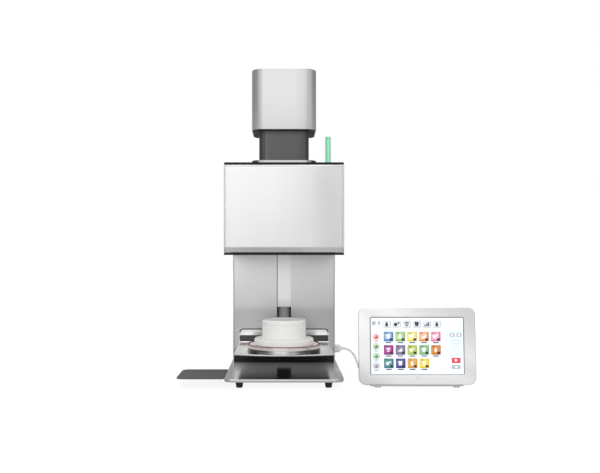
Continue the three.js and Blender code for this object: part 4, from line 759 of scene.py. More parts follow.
soft_lamp("key_lamp", (-0.8, -3.4, 1.5), 2.8, 18)
soft_lamp("spread_lamp", (-0.6, -2.8, 2.75), 2.6, 27, mirrored=False)
soft_lamp("fill_lamp", (2.0, -2.4, 1.1), 1.8, 9)
soft_lamp("top_lamp", (0.2, 0.8, 2.8), 2.4, 16)
print("four soft lamps")

# %% [markdown]
# Feet and base
# The furnace stands on four rubber cones. The base is a thick polished plate whose front corners curve
# in, so its outline has straight sides and a parabola at each of the two front corners.

# %% Rubber feet
foot_profile = [(0, 0.5), (3, 0.5), (3.2, 0), (6, 0), (8, 12.7), (0, 12.7)]
for corner in ("front_left", "front_right", "rear_left", "rear_right"):
    foot_shape = turned(foot_profile, (*middle("foot_" + corner)[:2], 0), sides=64, round_to=0.7)
    piece("rubber_foot_" + corner, foot_shape, "foot_rubber", "foot_" + corner)


# %% Base plate
def arc_line(a, control, b, steps=16):
    """A parabola from a to b that its control point draws out: (1-t)^2 a + 2t(1-t) control + t^2 b."""
    t = np.linspace(0, 1, steps + 1)[:, None]
    return (1 - t) ** 2 * np.array(a) + 2 * t * (1 - t) * np.array(control) + t**2 * np.array(b)


low, high = span("base_plate")
front_left = arc_line((low[0], low[1] + 23), low[:2], (low[0] + 17.5, low[1]))
front_right = front_left[::-1] * [-1, 1] + [2 * axis_x, 0]
base_outline = np.vstack([front_left, front_right, [(high[0], high[1]), (low[0], high[1])]])
piece("polished_base", slab(base_outline, low[2], high[2], 0.8), "polished_steel", "base_plate")

# %% [markdown]
# Head and column
# One side sheet on each side carries head and column. The front of the head is one sheet, folded along
# four lines. A real fold has a radius, so the fold line is rounded before the sheet gets its thickness,
# and the rounding makes the thin bright line that runs along each fold.


# %% Folded sheets
def folded(corners, reach, thickness, steps=6):
    """The outline of a sheet: a line of corners, rounded except at its two ends, and a second line at the
    thickness from it along its normal, which is its direction turned a quarter to the left."""
    line = soften(corners, [0, *[reach] * (len(corners) - 2), 0], steps)
    direction = unit(np.gradient(line, axis=0))
    normal = np.stack([-direction[:, 1], direction[:, 0]], 1)
    return np.vstack([line, (line + thickness * normal)[::-1]])


low, high = span("head_front_panel")
front_y, shell_low, shell_high = low[1], low[2], high[2]
face_line = [(front_y + 4, shell_high), (front_y, shell_high - 4.5)]
face_line += [(front_y, shell_low + 9.5), (front_y + 6, shell_low)]
fold_corners = [(front_y + 11.5, shell_high), *face_line, (front_y + 13.5, shell_low)]
head_shape = slab(folded(fold_corners, 1.6, 2), low[0], high[0], 0.2, "x", steps=2)
piece("folded_head_front", head_shape, "brushed_steel_sheet", "head_front_panel", crisp=50)

# %% Side sheets
left_low, left_high = span("side_plate_left")
column_low, column_high = span("column_front")
column_y = column_low[1]
side_foot, side_rear = left_low[2], left_high[1]
side_corners = [(side_rear, side_foot), (side_rear, left_high[2]), *face_line]
side_corners += [(column_y, shell_low), (column_y, side_foot)]
side_shape = slab(soften(side_corners, 1.2), left_low[0], left_high[0], 0.5, "x")
piece("left_side_sheet", side_shape, "silver_lacquer", "side_plate_left")
edged_copy("right_side_sheet", "side_plate_right", "silver_lacquer", 0.4)

# %% [markdown]
# The press tower
# The tower stands on a pale collar and a dark neck. Collar, neck and shell are rounded rectangles, so a
# profile of insets and heights carried round one outline makes each of them, hollow inside as the press
# needs.

# %% Collar and neck
low, high = span("tower_collar")
collar_outline = round_corners(*(high - low)[:2], 20, (axis_x, axis_y), 16)
collar_profile = np.array([(14, 10.8), (14, 0), (3, 0), (3, 1.8), (0, 1.8), (0, 10.8)]) + [0, low[2]]
collar_shape = walled(collar_outline, soften(collar_profile, 0.7), joined=True)
piece("pale_collar", collar_shape, "polished_collar", "tower_collar")
low, high = span("tower_neck")
neck_outline = round_corners(*(high - low)[:2], 11, (axis_x, axis_y), 14)
neck_profile = [(2.5, high[2]), (2.5, low[2]), (0, low[2]), (0, high[2])]
neck_shape = walled(neck_outline, soften(neck_profile, 0.5), joined=True)
piece("dark_neck", neck_shape, "neck_lacquer", "tower_neck")

# %% [markdown]
# Where the column meets the base, a thin black skirting stands for the deep shade in that crease, as painted
# shade, and a black end plate covers the foot of the slot. Both are hidden under the lift plate when it
# rests, and the polished base mirrors them.

# %% Skirting and end plate
# painted shade: the black skirting stands for the shade in the crease at the column's foot
skirting = round_corners(column_high[0] - column_low[0], 7.4, 0.3, (axis_x, column_low[2] + 3.9), 2)
piece("column_skirting", slab(skirting, column_y - 0.6, column_y, 0.15, "y", 1), "black_plastic")
slot_end = round_corners(32, 15, 1, (axis_x, column_low[2] + 26.9), 4)
piece("slot_end_plate", slab(slot_end, column_y - 0.22, column_y, 0.05, "y", 1), "black_plastic")

# %% Tower shell
low, high = span("tower_shell")
wall, foot, top = 2.5, low[2], high[2]
tower_outline = round_corners(*(high - low)[:2], 20, (axis_x, axis_y), 20)
rim = np.linspace(0, np.pi / 2, 7)
tower_lines = [(wall + 6, top - wall), (wall, top - wall), (wall, foot + 0.5), (wall - 0.5, foot)]
tower_lines += [(0.6, foot), (0.15, foot + 0.2), (0, foot + 0.7), (0, top - 3)]
tower_lines += [*zip(wall * (1 - np.cos(rim)), top - wall * (1 - np.sin(rim))), (3.4, top)]
piece("silver_tower", walled(tower_outline, tower_lines), "tower_lacquer", "tower_shell")

# %% [markdown]
# The status light
# A clear green rod stands in a small steel socket. It glows from within, so the finish lets light through,
# carries a tint and gives off a little light of its own. It is painted a deeper green towards its edges, as
# painted shade of a clear rod's sides, and a dark ring marks its cap.

# %% Green rod and socket
clear = {"Transmission Weight": 0.55, "IOR": 1.49, "Roughness": 0.12}
lit("green_acrylic", 220.0, 2.0, ((0.26, 0.68, 0.46), (0.37, 0.76, 0.56)), 0.2, clear)
rod_x, rod_y = middle("light_rod")[:2]
rod_foot, rod_top = span("light_rod")[:, 2]
rod_height = rod_top - rod_foot
# painted shade: the rod is darker towards its edges
rod_levels = [(-5.5, 0.4), (-4.2, 0.5), (-2.6, 1), (2.6, 1), (4.2, 0.5), (5.5, 0.4)]
shaded_along("green_acrylic", ACROSS, rod_x, rod_levels)
rod_profile = [(0, 0), (5.5, 0), (5.5, 59.3), (4.9, 59.3), (4.9, 60.3), (5.5, 60.3)]
rod_profile += [(5.5, rod_height), (0, rod_height)]
rod_shape = turned(rod_profile, (rod_x, rod_y, rod_foot), sides=64, round_to=0.6)
piece("green_light_rod", rod_shape, "green_acrylic", "light_rod")
socket_profile = [(0, 0), (8.5, 0), (8.5, 3.2), (7.6, 4), (5.8, 4), (5.8, 0.7), (0, 0.7)]
socket_shape = turned(socket_profile, (rod_x, rod_y, span("light_socket")[0][2]), sides=64, round_to=0.3)
piece("rod_socket", socket_shape, "polished_steel", "light_socket")

# %% [markdown]
# The lift
# The lift plate is one sheet, bowed in front and turned up at the back. Its section is the same all
# along, only shorter or longer, so the piece is a section for each place across it: the front edge
# follows a parabola and the top edge of the flange drops at its ends.

# %% Lift plate
plate_low, plate_high = span("lift_plate")
plate_x = (plate_low[0] + plate_high[0]) / 2
plate_half = (plate_high[0] - plate_low[0]) / 2
plate_thickness, plate_bow, flange_corner = 2.5, 18, 8
across = np.linspace(-1, 1, 121)
# the flange's top edge, with a quarter circle at each end
corner_reach = np.clip(np.abs(across) * plate_half - (plate_half - flange_corner), 0, flange_corner)
flange_top = plate_high[2] - flange_corner + np.sqrt(flange_corner**2 - corner_reach**2)


def lift_plate_shape(fold_radius=4):
    """For each x, a closed section in y and z: along the underside to a fold of radius r, up the back of
    the flange to its top, and back along the inner side. The front lies at the bow times the square of
    the share across."""
    fold = np.linspace(0, np.pi / 2, 7)
    rear, foot = plate_high[1], plate_low[2]
    inner = fold_radius - plate_thickness
    flat = np.ones(len(across))
    front = plate_low[1] + plate_bow * across**2
    outer_y = rear - fold_radius + fold_radius * np.sin(fold)
    outer_z = foot + fold_radius - fold_radius * np.cos(fold)
    inner_y = rear - fold_radius + inner * np.sin(fold[::-1])
    inner_z = foot + fold_radius - inner * np.cos(fold[::-1])
    y_rows = [front, *np.outer(outer_y, flat), flat * rear, flat * (rear - plate_thickness)]
    y_rows += [*np.outer(inner_y, flat), front]
    z_rows = [flat * foot, *np.outer(outer_z, flat), flange_top, flange_top]
    z_rows += [*np.outer(inner_z, flat), flat * (foot + plate_thickness)]
    x_rows = [plate_x + plate_half * across] * len(y_rows)
    return lofted(np.stack([x_rows, y_rows, z_rows], -1).transpose(1, 0, 2))


lift_plate = piece("bowed_lift_plate", lift_plate_shape(), "polished_plate", "lift_plate", body="lift")
round_edges(lift_plate, 0.3, 50)

# %% [markdown]
# Thin trims belong to the lift plate. Its flange carries a dark strip at its foot, as painted dark
# reflection, a polished band above it and a black lip round its top edge, as a painted shadow line. A thin
# dark lining under the plate is painted shade of the gap beneath it. All of them follow the plate's own
# lines.

# %% Strips and lining
flange_face = plate_high[1] - plate_thickness
# painted dark reflection: the dark strip at the flange's foot
for name, foot, top, thickness, finish in (
    ("flange_strip", 5.4, 19.2, 0.9, "anthracite_lacquer"),
    ("flange_band", 19.6, 30.6, 0.5, "polished_band"),
):
    strip_middle = (plate_x, plate_low[2] + (foot + top) / 2)
    strip = round_corners(2 * plate_half - 1.4, top - foot, 0.4, strip_middle, 3)
    piece(name, slab(strip, flange_face - thickness, flange_face, 0.12, "y", 1), finish, body="lift")
# painted shadow line: the black lip along the flange's top edge
lip_upper = np.column_stack([plate_x + across * (plate_half - 0.2), flange_top - 0.2])
lip_lower = np.column_stack([plate_x + across * (plate_half - 1.8), flange_top - 2.6])
lip_shape = slab(np.vstack([lip_lower, lip_upper[::-1]]), flange_face - 0.7, flange_face, 0.1, "y", 1)
piece("flange_lip", lip_shape, "black_plastic", body="lift")
# painted shade: the dark lining under the plate
bow = np.linspace(-1, 1, 41)
lining_x = plate_x + bow * (plate_half - 1.5)
lining_front = np.column_stack([lining_x, plate_low[1] + 1.2 + plate_bow * bow**2])
lining_rear = [(lining_x[-1], plate_high[1] - 6), (lining_x[0], plate_high[1] - 6)]
lining_outline = np.vstack([lining_front, lining_rear])
lining_shape = slab(lining_outline, plate_low[2] - 1.2, plate_low[2] - 0.05, 0.2, steps=1)
piece("plate_lining", lining_shape, "dark_anodised", body="lift")

# %% [markdown]
# Table, seal and plinth
# Everything on the lift plate is round about the chamber's axis, so each piece is a turned profile. The
# table's side is in two steps with a groove between them, and the lower one is polished and carries a
# painted reflection, light in the middle and painted dark towards its sides. The seal lies in a groove of
# the table's top. The plinth and its cap are pressed fibre with soft edges.


# %% Firing table and its seal
def turned_metal(name, tones, roughness):
    """Fine rings about the chamber's axis: a noise over the sum of the distance from the axis and the
    height."""
    tree, shader = start_finish(name)
    from_axis = {"Vector": place_in(tree), "Location": (-axis_x * MM, -axis_y * MM, 0)}
    centred = add_node(tree, "ShaderNodeMapping", from_axis).outputs["Vector"]
    parts = add_node(tree, "ShaderNodeSeparateXYZ", {0: centred}).outputs
    flat = add_node(tree, "ShaderNodeCombineXYZ", {0: parts[0], 1: parts[1]}).outputs[0]
    both = reckon(tree, "ADD", measured(tree, "LENGTH", flat), parts[2])
    rings = {"W": both, "Scale": 1900.0, "Detail": 3.0}
    noise = add_node(tree, "ShaderNodeTexNoise", rings, noise_dimensions="1D").outputs["Fac"]
    textured(tree, shader, noise, (0.12, 0.03), noise, tones, roughness, {"Metallic": 1.0})


def about_axis(profile, solid, round_to=0.0):
    """A profile turned about the chamber's axis, from the foot of a solid up."""
    return turned(profile, (axis_x, axis_y, span(solid)[0][2]), sides=160, round_to=round_to)


turned_metal("turned_steel", (grey(0.84, 0.03), grey(0.92, 0.04)), (0.1, 0.2))
# a copy of the turned steel for the lower step, which carries a painted reflection: light in the middle,
# painted dark towards the sides
turned_metal("dark_turned", greys(0.8, 0.9), (0.08, 0.14))
step_levels = [(-77, 0.16), (-50, 0.22), (-34, 0.32), (-18, 0.95), (2, 1), (14, 0.75), (22, 0.66)]
step_levels += [(32, 0.25), (77, 0.18)]
shaded_along("dark_turned", ACROSS, axis_x, step_levels)
table_low, table_high = span("firing_table")
table_height = table_high[2] - table_low[2]
step_height = table_height * 0.43
disc_foot = step_height + 2
seal_height = span("sealing_ring")[1][2] - table_low[2] - 2
seal_groove = seal_height - 2.3
table_profile = [(0, 0), (75, 0), (75, step_height), (73, step_height), (73, disc_foot), (77, disc_foot)]
table_profile += [(77, table_height), (76.3, table_height), (76.3, seal_groove), (71.7, seal_groove)]
table_profile += [(71.7, table_height), (0, table_height)]
table_shape = about_axis(table_profile, "firing_table", 0.6)
table = piece("turned_table", table_shape, "turned_steel", "firing_table", body="lift").data
# the faces of the lower step, below the top disc's foot, get the second finish, with its painted dark
# reflection
table.materials.append(finishes["dark_turned"])
face_middles = np.empty(len(table.polygons) * 3, np.float32)
table.polygons.foreach_get("center", face_middles)
is_lower = face_middles.reshape(-1, 3)[:, 2] < (table_low[2] + disc_foot - 0.1) * MM
table.polygons.foreach_set("material_index", is_lower.astype(np.int32))
seal_shape = about_axis(circle(74, seal_height, 2, 20), "firing_table")
piece("red_seal", seal_shape, "seal_rubber", "sealing_ring", body="lift")

# %% Plinth
plinth_low, plinth_high = span("plinth")[:, 2]
plinth_height = plinth_high - plinth_low
plinth_profile = [(0, 0), (61, 0), (61, 12.7), (45, 12.7), (45, plinth_height), (0, plinth_height)]
plinth_shape = about_axis(soften(plinth_profile, [0, 0.6, 5, 1.6, 0.12, 0], 8), "plinth")
piece("fibre_plinth", plinth_shape, "ceramic_fibre", "plinth", body="lift")

# %% [markdown]
# The cap has a shallow recess for the firing tray and two small holes for its pins. Holes can't come from
# a turned profile, so the cap is turned first and two thin rods are then cut from it.


# %% Plinth cap
def drilled(made, cutters):
    """Cut shapes out of a piece, and keep the result as the piece's own mesh."""
    drill = placed("drill", mesh_of("drill", together(*cutters)))
    cut = made.modifiers.new("holes", "BOOLEAN")
    cut.object = drill
    cut.operation = "DIFFERENCE"
    cut.solver = "EXACT"
    evaluated = made.evaluated_get(bpy.context.evaluated_depsgraph_get())
    result = bpy.data.meshes.new_from_object(evaluated)
    made.modifiers.clear()
    made.data = result
    bpy.data.objects.remove(drill)
    result.set_sharp_from_angle(angle=math.radians(38))


cap_profile = [(0, 0), (45, 0), (45, 8.7), (29, 8.7), (27.6, 7.3), (0, 7.3)]
cap_shape = about_axis(soften(cap_profile, [0, 0.12, 1.6, 0.5, 0.5, 0], 6), "plinth_cap")
cap = piece("fibre_cap", cap_shape, "ceramic_fibre", "plinth_cap", body="lift")
cap_foot = span("plinth_cap")[0][2]
pin_profile = [(0, 4.7), (1.6, 4.7), (1.6, 12), (0, 12)]
drilled(cap, [turned(pin_profile, (axis_x + side, axis_y, cap_foot), sides=24) for side in (-33.5, 33.5)])

# %% [markdown]
# Guide and carriage
# Behind the slot stands a satin guide tube. The carriage is a sleeve on that tube with a web that reaches
# out through the slot to the lift plate, and a lug for the nut. A light silicone blind hangs just behind the
# sheet and closes the slot above the sleeve.

# %% Guide tube, carriage and nut
tube_low, tube_high = span("lift_guide_tube")[:, 2]
tube_profile = [(10, tube_low), (13, tube_low), (13, tube_high), (10, tube_high)]
tube_shape = turned(tube_profile, (*middle("lift_guide_tube")[:2], 0), sides=72, round_to=0.5)
piece("polished_guide_tube", tube_shape, "satin_tube", "lift_guide_tube")
edged_copy("lift_carriage_body", "lift_carriage", "pale_anodised", 0.5, "lift")
edged_copy("brass_lift_nut", "lift_nut", "brass", 0.3, "lift")
sleeve_top = span("lift_carriage")[1][2]
blind_top = span("guide_bracket_upper")[0][2] - 1.5
blind_height = blind_top - sleeve_top
blind_face = column_high[1] + 0.35
blind_outline = round_corners(31.7, blind_height, 0.6, (axis_x + 1.15, sleeve_top + blind_height / 2), 3)
blind_shape = slab(blind_outline, blind_face, blind_face + 0.8, 0.15, "y", 1)
slot_blind = piece("slot_blind", blind_shape, "slot_silicone")
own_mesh(slot_blind)

# %% [markdown]
# The cooling tray
# A thin dark tray hangs on the left of the base. Its outer corners are round, and a black strip under the
# base carries it.

# %% Tray
low, high = span("side_tray")
tray_corners = [(high[0], low[1]), (high[0], high[1]), (low[0], high[1]), (low[0], low[1])]
tray_shape = slab(soften(tray_corners, [0.5, 0.5, 14, 14], 12), low[2], high[2], 0.5)
piece("cooling_tray", tray_shape, "anthracite_lacquer", "side_tray")
edged_copy("tray_carrier", "tray_strip", "black_lacquer", 0.3)

# %% [markdown]
# The touch panel
# The panel leans back on its stand, so its pieces are worked out upright about the hinge pin, and each
# point is then turned about the pin. That keeps the formulas plain and the mesh in its real place.

# %% Leaning
hinge = middle("hinge_pin")
lean_angle = math.radians(5)
panel_width, panel_height, panel_corner = 226, 148.6, 14
hinge_down = 62 / math.cos(lean_angle)
panel_middle = panel_height / 2 - hinge_down


def lean_back(shape):
    """Turn points about the hinge pin: y' = y cos a + z sin a and z' = z cos a - y sin a."""
    x, y, z = shape[0].T
    turned_y = y * math.cos(lean_angle) + z * math.sin(lean_angle)
    turned_z = z * math.cos(lean_angle) - y * math.sin(lean_angle)
    return np.stack([x, turned_y, turned_z], 1) + hinge, shape[1]


def at_depth(outline, depth):
    """A flat outline at a depth behind the hinge, as points in space."""
    return np.column_stack([outline[:, 0], np.full(len(outline), depth), outline[:, 1]])


def windows(sizes):
    """Rounded rectangles about the panel's middle, each given as width, height, radius and depth."""
    return [at_depth(round_corners(*size, (0, panel_middle), 8), depth) for *size, depth in sizes]


# %% Panel frame
frame_steps = [(3, -24), (1, -24), (0.3, -24.3), (0, -24.9), (0, -28.2), (0.15, -28.9), (0.55, -29.5)]
frame_steps += [(1.2, -29.9), (2, -30), (3, -30)]
frame_sizes = [(172, 102, 1, -24)]
frame_sizes += [
    (panel_width - 2 * away, panel_height - 2 * away, panel_corner - away, depth)
    for away, depth in frame_steps
]
frame_sizes += [(184.4, 114.4, 4.8, -30), (183.4, 113.4, 4.3, -30), (182.9, 112.9, 4, -29.9)]
frame_sizes += [(180, 110, 2.6, -28.75), (179.6, 109.6, 2.4, -28.5), (179.6, 109.6, 2.4, -27.7)]
frame_sizes += [(172, 102, 1, -27.7)]
frame_shape = lean_back(lofted(windows(frame_sizes), joined=True))
piece("satin_panel_frame", frame_shape, "satin_silver", "panel_frame", body="touch_panel")

# %% [markdown]
# The screen
# The glass is a thin plate in the frame's window, with a fine black gasket round it, which is a painted
# shadow line where the frame steps down to the glass. What it shows is a simple menu: a row of small signs,
# a column of round lamps, a field of coloured tiles with plain signs on them, and a start and a stop key.
# Each sign is a flat shape of its own, and its colour goes into an attribute of the mesh, which one lit
# material reads.

# %% Glass
lit("screen_glass", 30.0, 2.0, ((0.7, 0.78, 0.88), (0.76, 0.83, 0.91)), 0.35, {}, (0.08, 0.14))
glass_sizes = [(176, 106, 1, -28), (178.6, 108.6, 1.8, -28), (179, 109, 2, -28.2), (179, 109, 2, -28.6)]
glass_sizes += [(178.6, 108.6, 1.8, -28.9), (176, 106, 1, -28.9)]
glass_shape = lean_back(lofted(windows(glass_sizes)))
piece("screen_plate", glass_shape, "screen_glass", "panel_screen", body="touch_panel")
# painted shadow: the black gasket is the thin shadow line where the frame steps down to the glass
outer_size, inner_size = (179.5, 109.5, 2.3), (178.3, 108.3, 1.7)
gasket_sizes = [(*outer_size, -28.4), (*outer_size, -29), (*inner_size, -29), (*inner_size, -28.4)]
gasket_shape = lean_back(lofted(windows(gasket_sizes), joined=True))
piece("glass_gasket", gasket_shape, "black_plastic", body="touch_panel")

# %% Flat signs
menu_shapes = []


def bar(x, z, width, height, radius=0.3):
    """A small rounded rectangle about (x, z)."""
    return round_corners(width, height, radius, (x, z), 3)


def show(outline, colour, layer=0):
    """Put a flat sign on the screen, in millimetres from its lower left corner, each layer a little
    further out."""
    menu_shapes.append((np.asarray(outline, float), colour, layer))


WHITE = (0.95, 0.96, 0.97)
SLATE = (0.02, 0.025, 0.035)
MIST = (0.62, 0.67, 0.74)
TILE_COLOURS = [
    [(0.06, 0.22, 0.5), (0.26, 0.46, 0.08), (0.8, 0.62, 0.03), (0.8, 0.26, 0.03), (0.72, 0.2, 0.36)],
    [(0.32, 0.01, 0.22), (0.18, 0.15, 0.26), (0.4, 0.5, 0.05), (0.2, 0.45, 0.2), (0.62, 0.2, 0.01)],
    [(0.02, 0.2, 0.22), (0.03, 0.04, 0.24), (0.66, 0.32, 0.03), (0.78, 0.62, 0.04)],
]
TILE_LIFTS = [0.3, 0.06, 0.1]
LAMP_COLOURS = [(0.62, 0.04, 0.02), (0.03, 0.24, 0.02), (0.05, 0.3, 0.06), (0.24, 0.22, 0.3)]
print("colours for", sum(len(row) for row in TILE_COLOURS), "tiles")


# %% Signs on the tiles
def crown(x, z):
    """A tooth-like block: wide above, drawn in below, with two short roots."""
    points = [(-2.8, -1), (-2.1, -4.2), (-0.7, -4.2), (0, -1.4), (0.7, -4.2), (2.1, -4.2), (2.8, -1)]
    points += [(3.8, 2.1), (2.8, 4.2), (0, 3.5), (-2.8, 4.2), (-3.8, 2.1)]
    return [np.array(points) + [x, z]]


def flame(x, z):
    """A drop with its point up: the half width at angle a is 3 sin(a) sin(a / 2)."""
    angle = around(24)
    width = 3 * np.sin(angle) * np.sin(angle / 2)
    return [np.stack([x + width, z + 4.4 * np.cos(angle)], 1)[::-1]]


def steps_up(x, z):
    """Three bars that rise, as on a temperature curve."""
    return [bar(x + 2.8 * k, z - 2.4 + 1.1 * (k + 1), 2, 2.6 + 2.2 * (k + 1)) for k in (-1, 0, 1)]


def rings(x, z):
    """A large and a small disc side by side."""
    return [circle(x - 1.8, z - 0.6, 3), circle(x + 3.2, z + 2, 1.6)]


def layers(x, z):
    """Three lines under each other, as of layered porcelain."""
    return [bar(x, z + 2.8, 8, 1.6, 0.5), bar(x, z, 6.4, 1.6, 0.5), bar(x, z - 2.8, 4.4, 1.6, 0.5)]


TILE_SIGNS = [crown, flame, layers, steps_up, rings]
tile_side = 18.6
for row, colours in enumerate(TILE_COLOURS):
    lift = TILE_LIFTS[row]
    for column, colour in enumerate(colours):
        tile_x, tile_z = 34.4 + 22.8 * column, 72.6 - 25.6 * row
        show(bar(tile_x, tile_z, tile_side, tile_side, 1.6), [0.62 * c for c in colour])
        show(bar(tile_x - 0.4, tile_z + 0.5, tile_side - 1.8, tile_side - 2, 1.3), colour, 1)
        inner = bar(tile_x - 1.2, tile_z + 1.2, tile_side - 5, tile_side - 5.4, 2.4)
        show(inner, [lift + (0.95 - lift) * c for c in colour], 2)
        for outline in TILE_SIGNS[(row * 2 + column) % 5](tile_x - 0.6, tile_z + 0.4):
            show(outline, WHITE, 3)
        show(bar(tile_x + 5, tile_z - 5.4, 5.4, 4.4, 0.8), SLATE, 3)
        show(bar(tile_x - 4.6, tile_z + 6.4, 4.6, 1.3), SLATE, 4)
        show(bar(tile_x, tile_z - tile_side / 2 - 2.3, 11, 2), SLATE)
print(len(menu_shapes), "signs on the tiles")

# %% Toolbar, lamps and keys
tool_z, lamp_x, key_x = 96.6, 10.4, 164
for tool in range(6):
    tool_x = 31 + 19.4 * tool
    show(bar(tool_x, tool_z, 16, 14, 2.4), (0.34, 0.35, 0.38))
    show(bar(tool_x - 0.4, tool_z + 0.3, 14.8, 13, 2), (0.7, 0.71, 0.73), 1)
    for outline in TILE_SIGNS[(tool * 3 + 1) % 5](tool_x, tool_z):
        show(1.15 * outline - [0.15 * tool_x, 0.15 * tool_z], (0.03, 0.035, 0.05), 2)
for lamp, colour in enumerate(LAMP_COLOURS):
    lamp_z = 72 - 18.6 * lamp
    show(circle(lamp_x, lamp_z, 6.6, 40), [0.5 * c for c in colour])
    show(circle(lamp_x, lamp_z, 5.7, 40), WHITE, 1)
    show(circle(lamp_x, lamp_z, 4.2, 40), colour, 2)
    show(circle(lamp_x - 1, lamp_z + 1.2, 1.7), [0.45 + 0.55 * c for c in colour], 3)
    show(bar(lamp_x, lamp_z - 8.6, 8, 1.2), colour)
STROKES = {"a": (0, 2.6), "g": (0, 0), "d": (0, -2.6), "f": (-1.2, 1.3), "b": (1.2, 1.3)}
STROKES |= {"e": (-1.2, -1.3), "c": (1.2, -1.3)}
for digit, strokes in enumerate(("abcdef", "abged", "bc", "afgcd")):
    digit_x = 4.6 + 3.7 * digit + (1.4 if digit > 1 else 0)
    for stroke in strokes:
        stroke_x, stroke_z = STROKES[stroke]
        width, height = (2.8, 1.0) if stroke in "agd" else (1.0, 2.8)
        show(bar(digit_x + stroke_x, 98.6 + stroke_z, width, height, 0.2), SLATE)
for dot_z in (97.4, 99.8):
    show(circle(11.1, dot_z, 0.4, 12), SLATE)
show(bar(lamp_x, 92, 13, 1.2), MIST)
show(bar(key_x, 57, 26, 58, 2), (0.72, 0.82, 0.92))
for small in (-6.4, 6.4):
    show(bar(key_x + small, 76, 9.4, 7.4, 1), (0.42, 0.46, 0.52), 1)
    show(circle(key_x + small, 76, 2.1), WHITE, 2)
for line, width in enumerate((20, 20, 14)):
    show(bar(key_x, 65 - 5 * line, width, 1.5), MIST, 1)
show(bar(key_x, 27, 17, 10.4, 1.4), (0.5, 0.03, 0.05), 1)
show(bar(key_x - 0.4, 27.5, 15.6, 8.8, 1.2), (0.76, 0.06, 0.09), 2)
show(bar(key_x - 0.4, 27.5, 4, 4), WHITE, 3)
show(bar(key_x, 14.4, 17, 8, 1.2), (0.42, 0.45, 0.5), 1)
show(circle(key_x, 14.4, 2), WHITE, 2)
print(len(menu_shapes), "signs in all")

# %% The menu as one lit mesh
lit("screen_menu", 90.0, 1.0, None, 0.2, {}, (0.1, 0.18))
screen_corner = [-89.5, panel_middle - 54.5]


def sign_shape(outline, layer):
    """A flat plate of the outline on the glass, 0.04 mm thick, with each layer on top of the one
    below."""
    return lofted([at_depth(outline + screen_corner, depth) for depth in (-28.9, -28.94 - 0.04 * layer)])


menu_plates = [sign_shape(outline, layer) for outline, _, layer in menu_shapes]
menu_shape = lean_back(together(*menu_plates))
menu = piece("screen_menu_signs", menu_shape, "screen_menu", body="touch_panel", crisp=20, weld=0).data
menu_counts = [len(faces) for _, faces in menu_plates]
menu_colours = np.repeat([[*colour, 1.0] for _, colour, _ in menu_shapes], menu_counts, axis=0)
corner_counts = np.zeros(len(menu.polygons), int)
menu.polygons.foreach_get("loop_total", corner_counts)
tint = menu.attributes.new("tint", "FLOAT_COLOR", "CORNER")
tint.data.foreach_set("color", np.repeat(menu_colours, corner_counts, axis=0).astype(np.float32).ravel())

# %% [markdown]
# Shell, button and stand
# The back of the panel is a moulded shell with two hinge knuckles. The round power button sits low in the
# frame. The stand is a silver sheet on four small pads, with an upright that the hinge pin joins to the
# shell.

# %% Back of the panel
edged_copy("moulded_panel_shell", "panel_shell", "pale_plastic", 0.8, "touch_panel")
edged_copy("folded_panel_stand", "panel_stand", "silver_lacquer", 0.35)
edged_copy("stand_cable_socket", "stand_socket", "black_plastic", 0.3)
edged_copy("steel_hinge_pin", "hinge_pin", "polished_steel", 0.3)

# %% Power button
button_front, button_z = -30.8, 13.5 - hinge_down
button_profile = [(0, 0), (4, 0), (4, 5.3), (5.4, 5.3), (5.4, 6.5), (0, 6.5)]
button_shape = turned(button_profile, (0, button_front, button_z), "y", 48, 0.5)
piece("power_button_cap", lean_back(button_shape), "pale_plastic", "power_button", body="power_key")
ring_profile = (circle(0, 0, 1, 12) * [0.35, 0.2]) + [2.5, 0]
ring_shape = turned(ring_profile, (0, button_front + 0.02, button_z), "y", 48)
piece("power_button_ring", lean_back(ring_shape), "green_acrylic", body="power_key")

# %% [markdown]
# Rear and sides
# The rear cover holds the vacuum port, the mains inlet and its switch. The rocker carries the usual two
# marks, a line for on and a ring for off. Small dome screws hold the cover and the side sheets.

# %% Port and inlet
cover_low, cover_high = span("rear_cover")
cover_face = cover_high[1]
port_x, _, port_z = middle("vacuum_port")
port_steps = [(2.6, -5.3), (6, -5.3), (6, 0), (12, 0), (12, 3), (4.6, 3)]
barb = ((4.6, 2.4), (5.4, 2.4), (4.2, 0))
port_steps += [(r, 3 + top - back) for top in (8, 12, 16) for r, back in barb]
port_shape = turned([*port_steps, (2.6, 19)], (port_x, cover_face + 0.3, port_z), "y", 64, 0.25)
piece("barbed_vacuum_port", port_shape, "machined_steel", "vacuum_port")
edged_copy("moulded_mains_inlet", "mains_inlet", "black_plastic", 0.3)
edged_copy("switch_rocker_key", "mains_rocker", "black_plastic", 0.4, "mains_switch")
edged_copy("column_cable_socket", "column_socket", "black_plastic", 0.3)

# %% Marks of the rocker
rocker_low, rocker_high = span("mains_rocker")
rocker_pivot = ((rocker_low[0] + rocker_high[0]) / 2, rocker_high[1] - 8.37, rocker_low[2] + 10.83)
rocker_tilt = math.radians(10)


def rocker_mark(outlines, side, joined=False):
    """A raised mark on one half of the rocker. Each outline is given with its height over that half, a
    plane that starts 5 mm from the pivot and rises 2 mm over 8.49 mm. The whole is then turned by the
    rocker's tilt."""
    slope = math.atan2(2, 8.49)
    lines = []
    for outline, above in outlines:
        across, along = outline.T
        out = 5 + along * math.sin(slope) + above * math.cos(slope)
        up = side * (along * math.cos(slope) - above * math.sin(slope))
        turned_out = out * math.cos(rocker_tilt) + up * math.sin(rocker_tilt)
        turned_up = up * math.cos(rocker_tilt) - out * math.sin(rocker_tilt)
        lines.append(np.column_stack([across, turned_out, turned_up]) + rocker_pivot)
    return lofted(lines, joined)


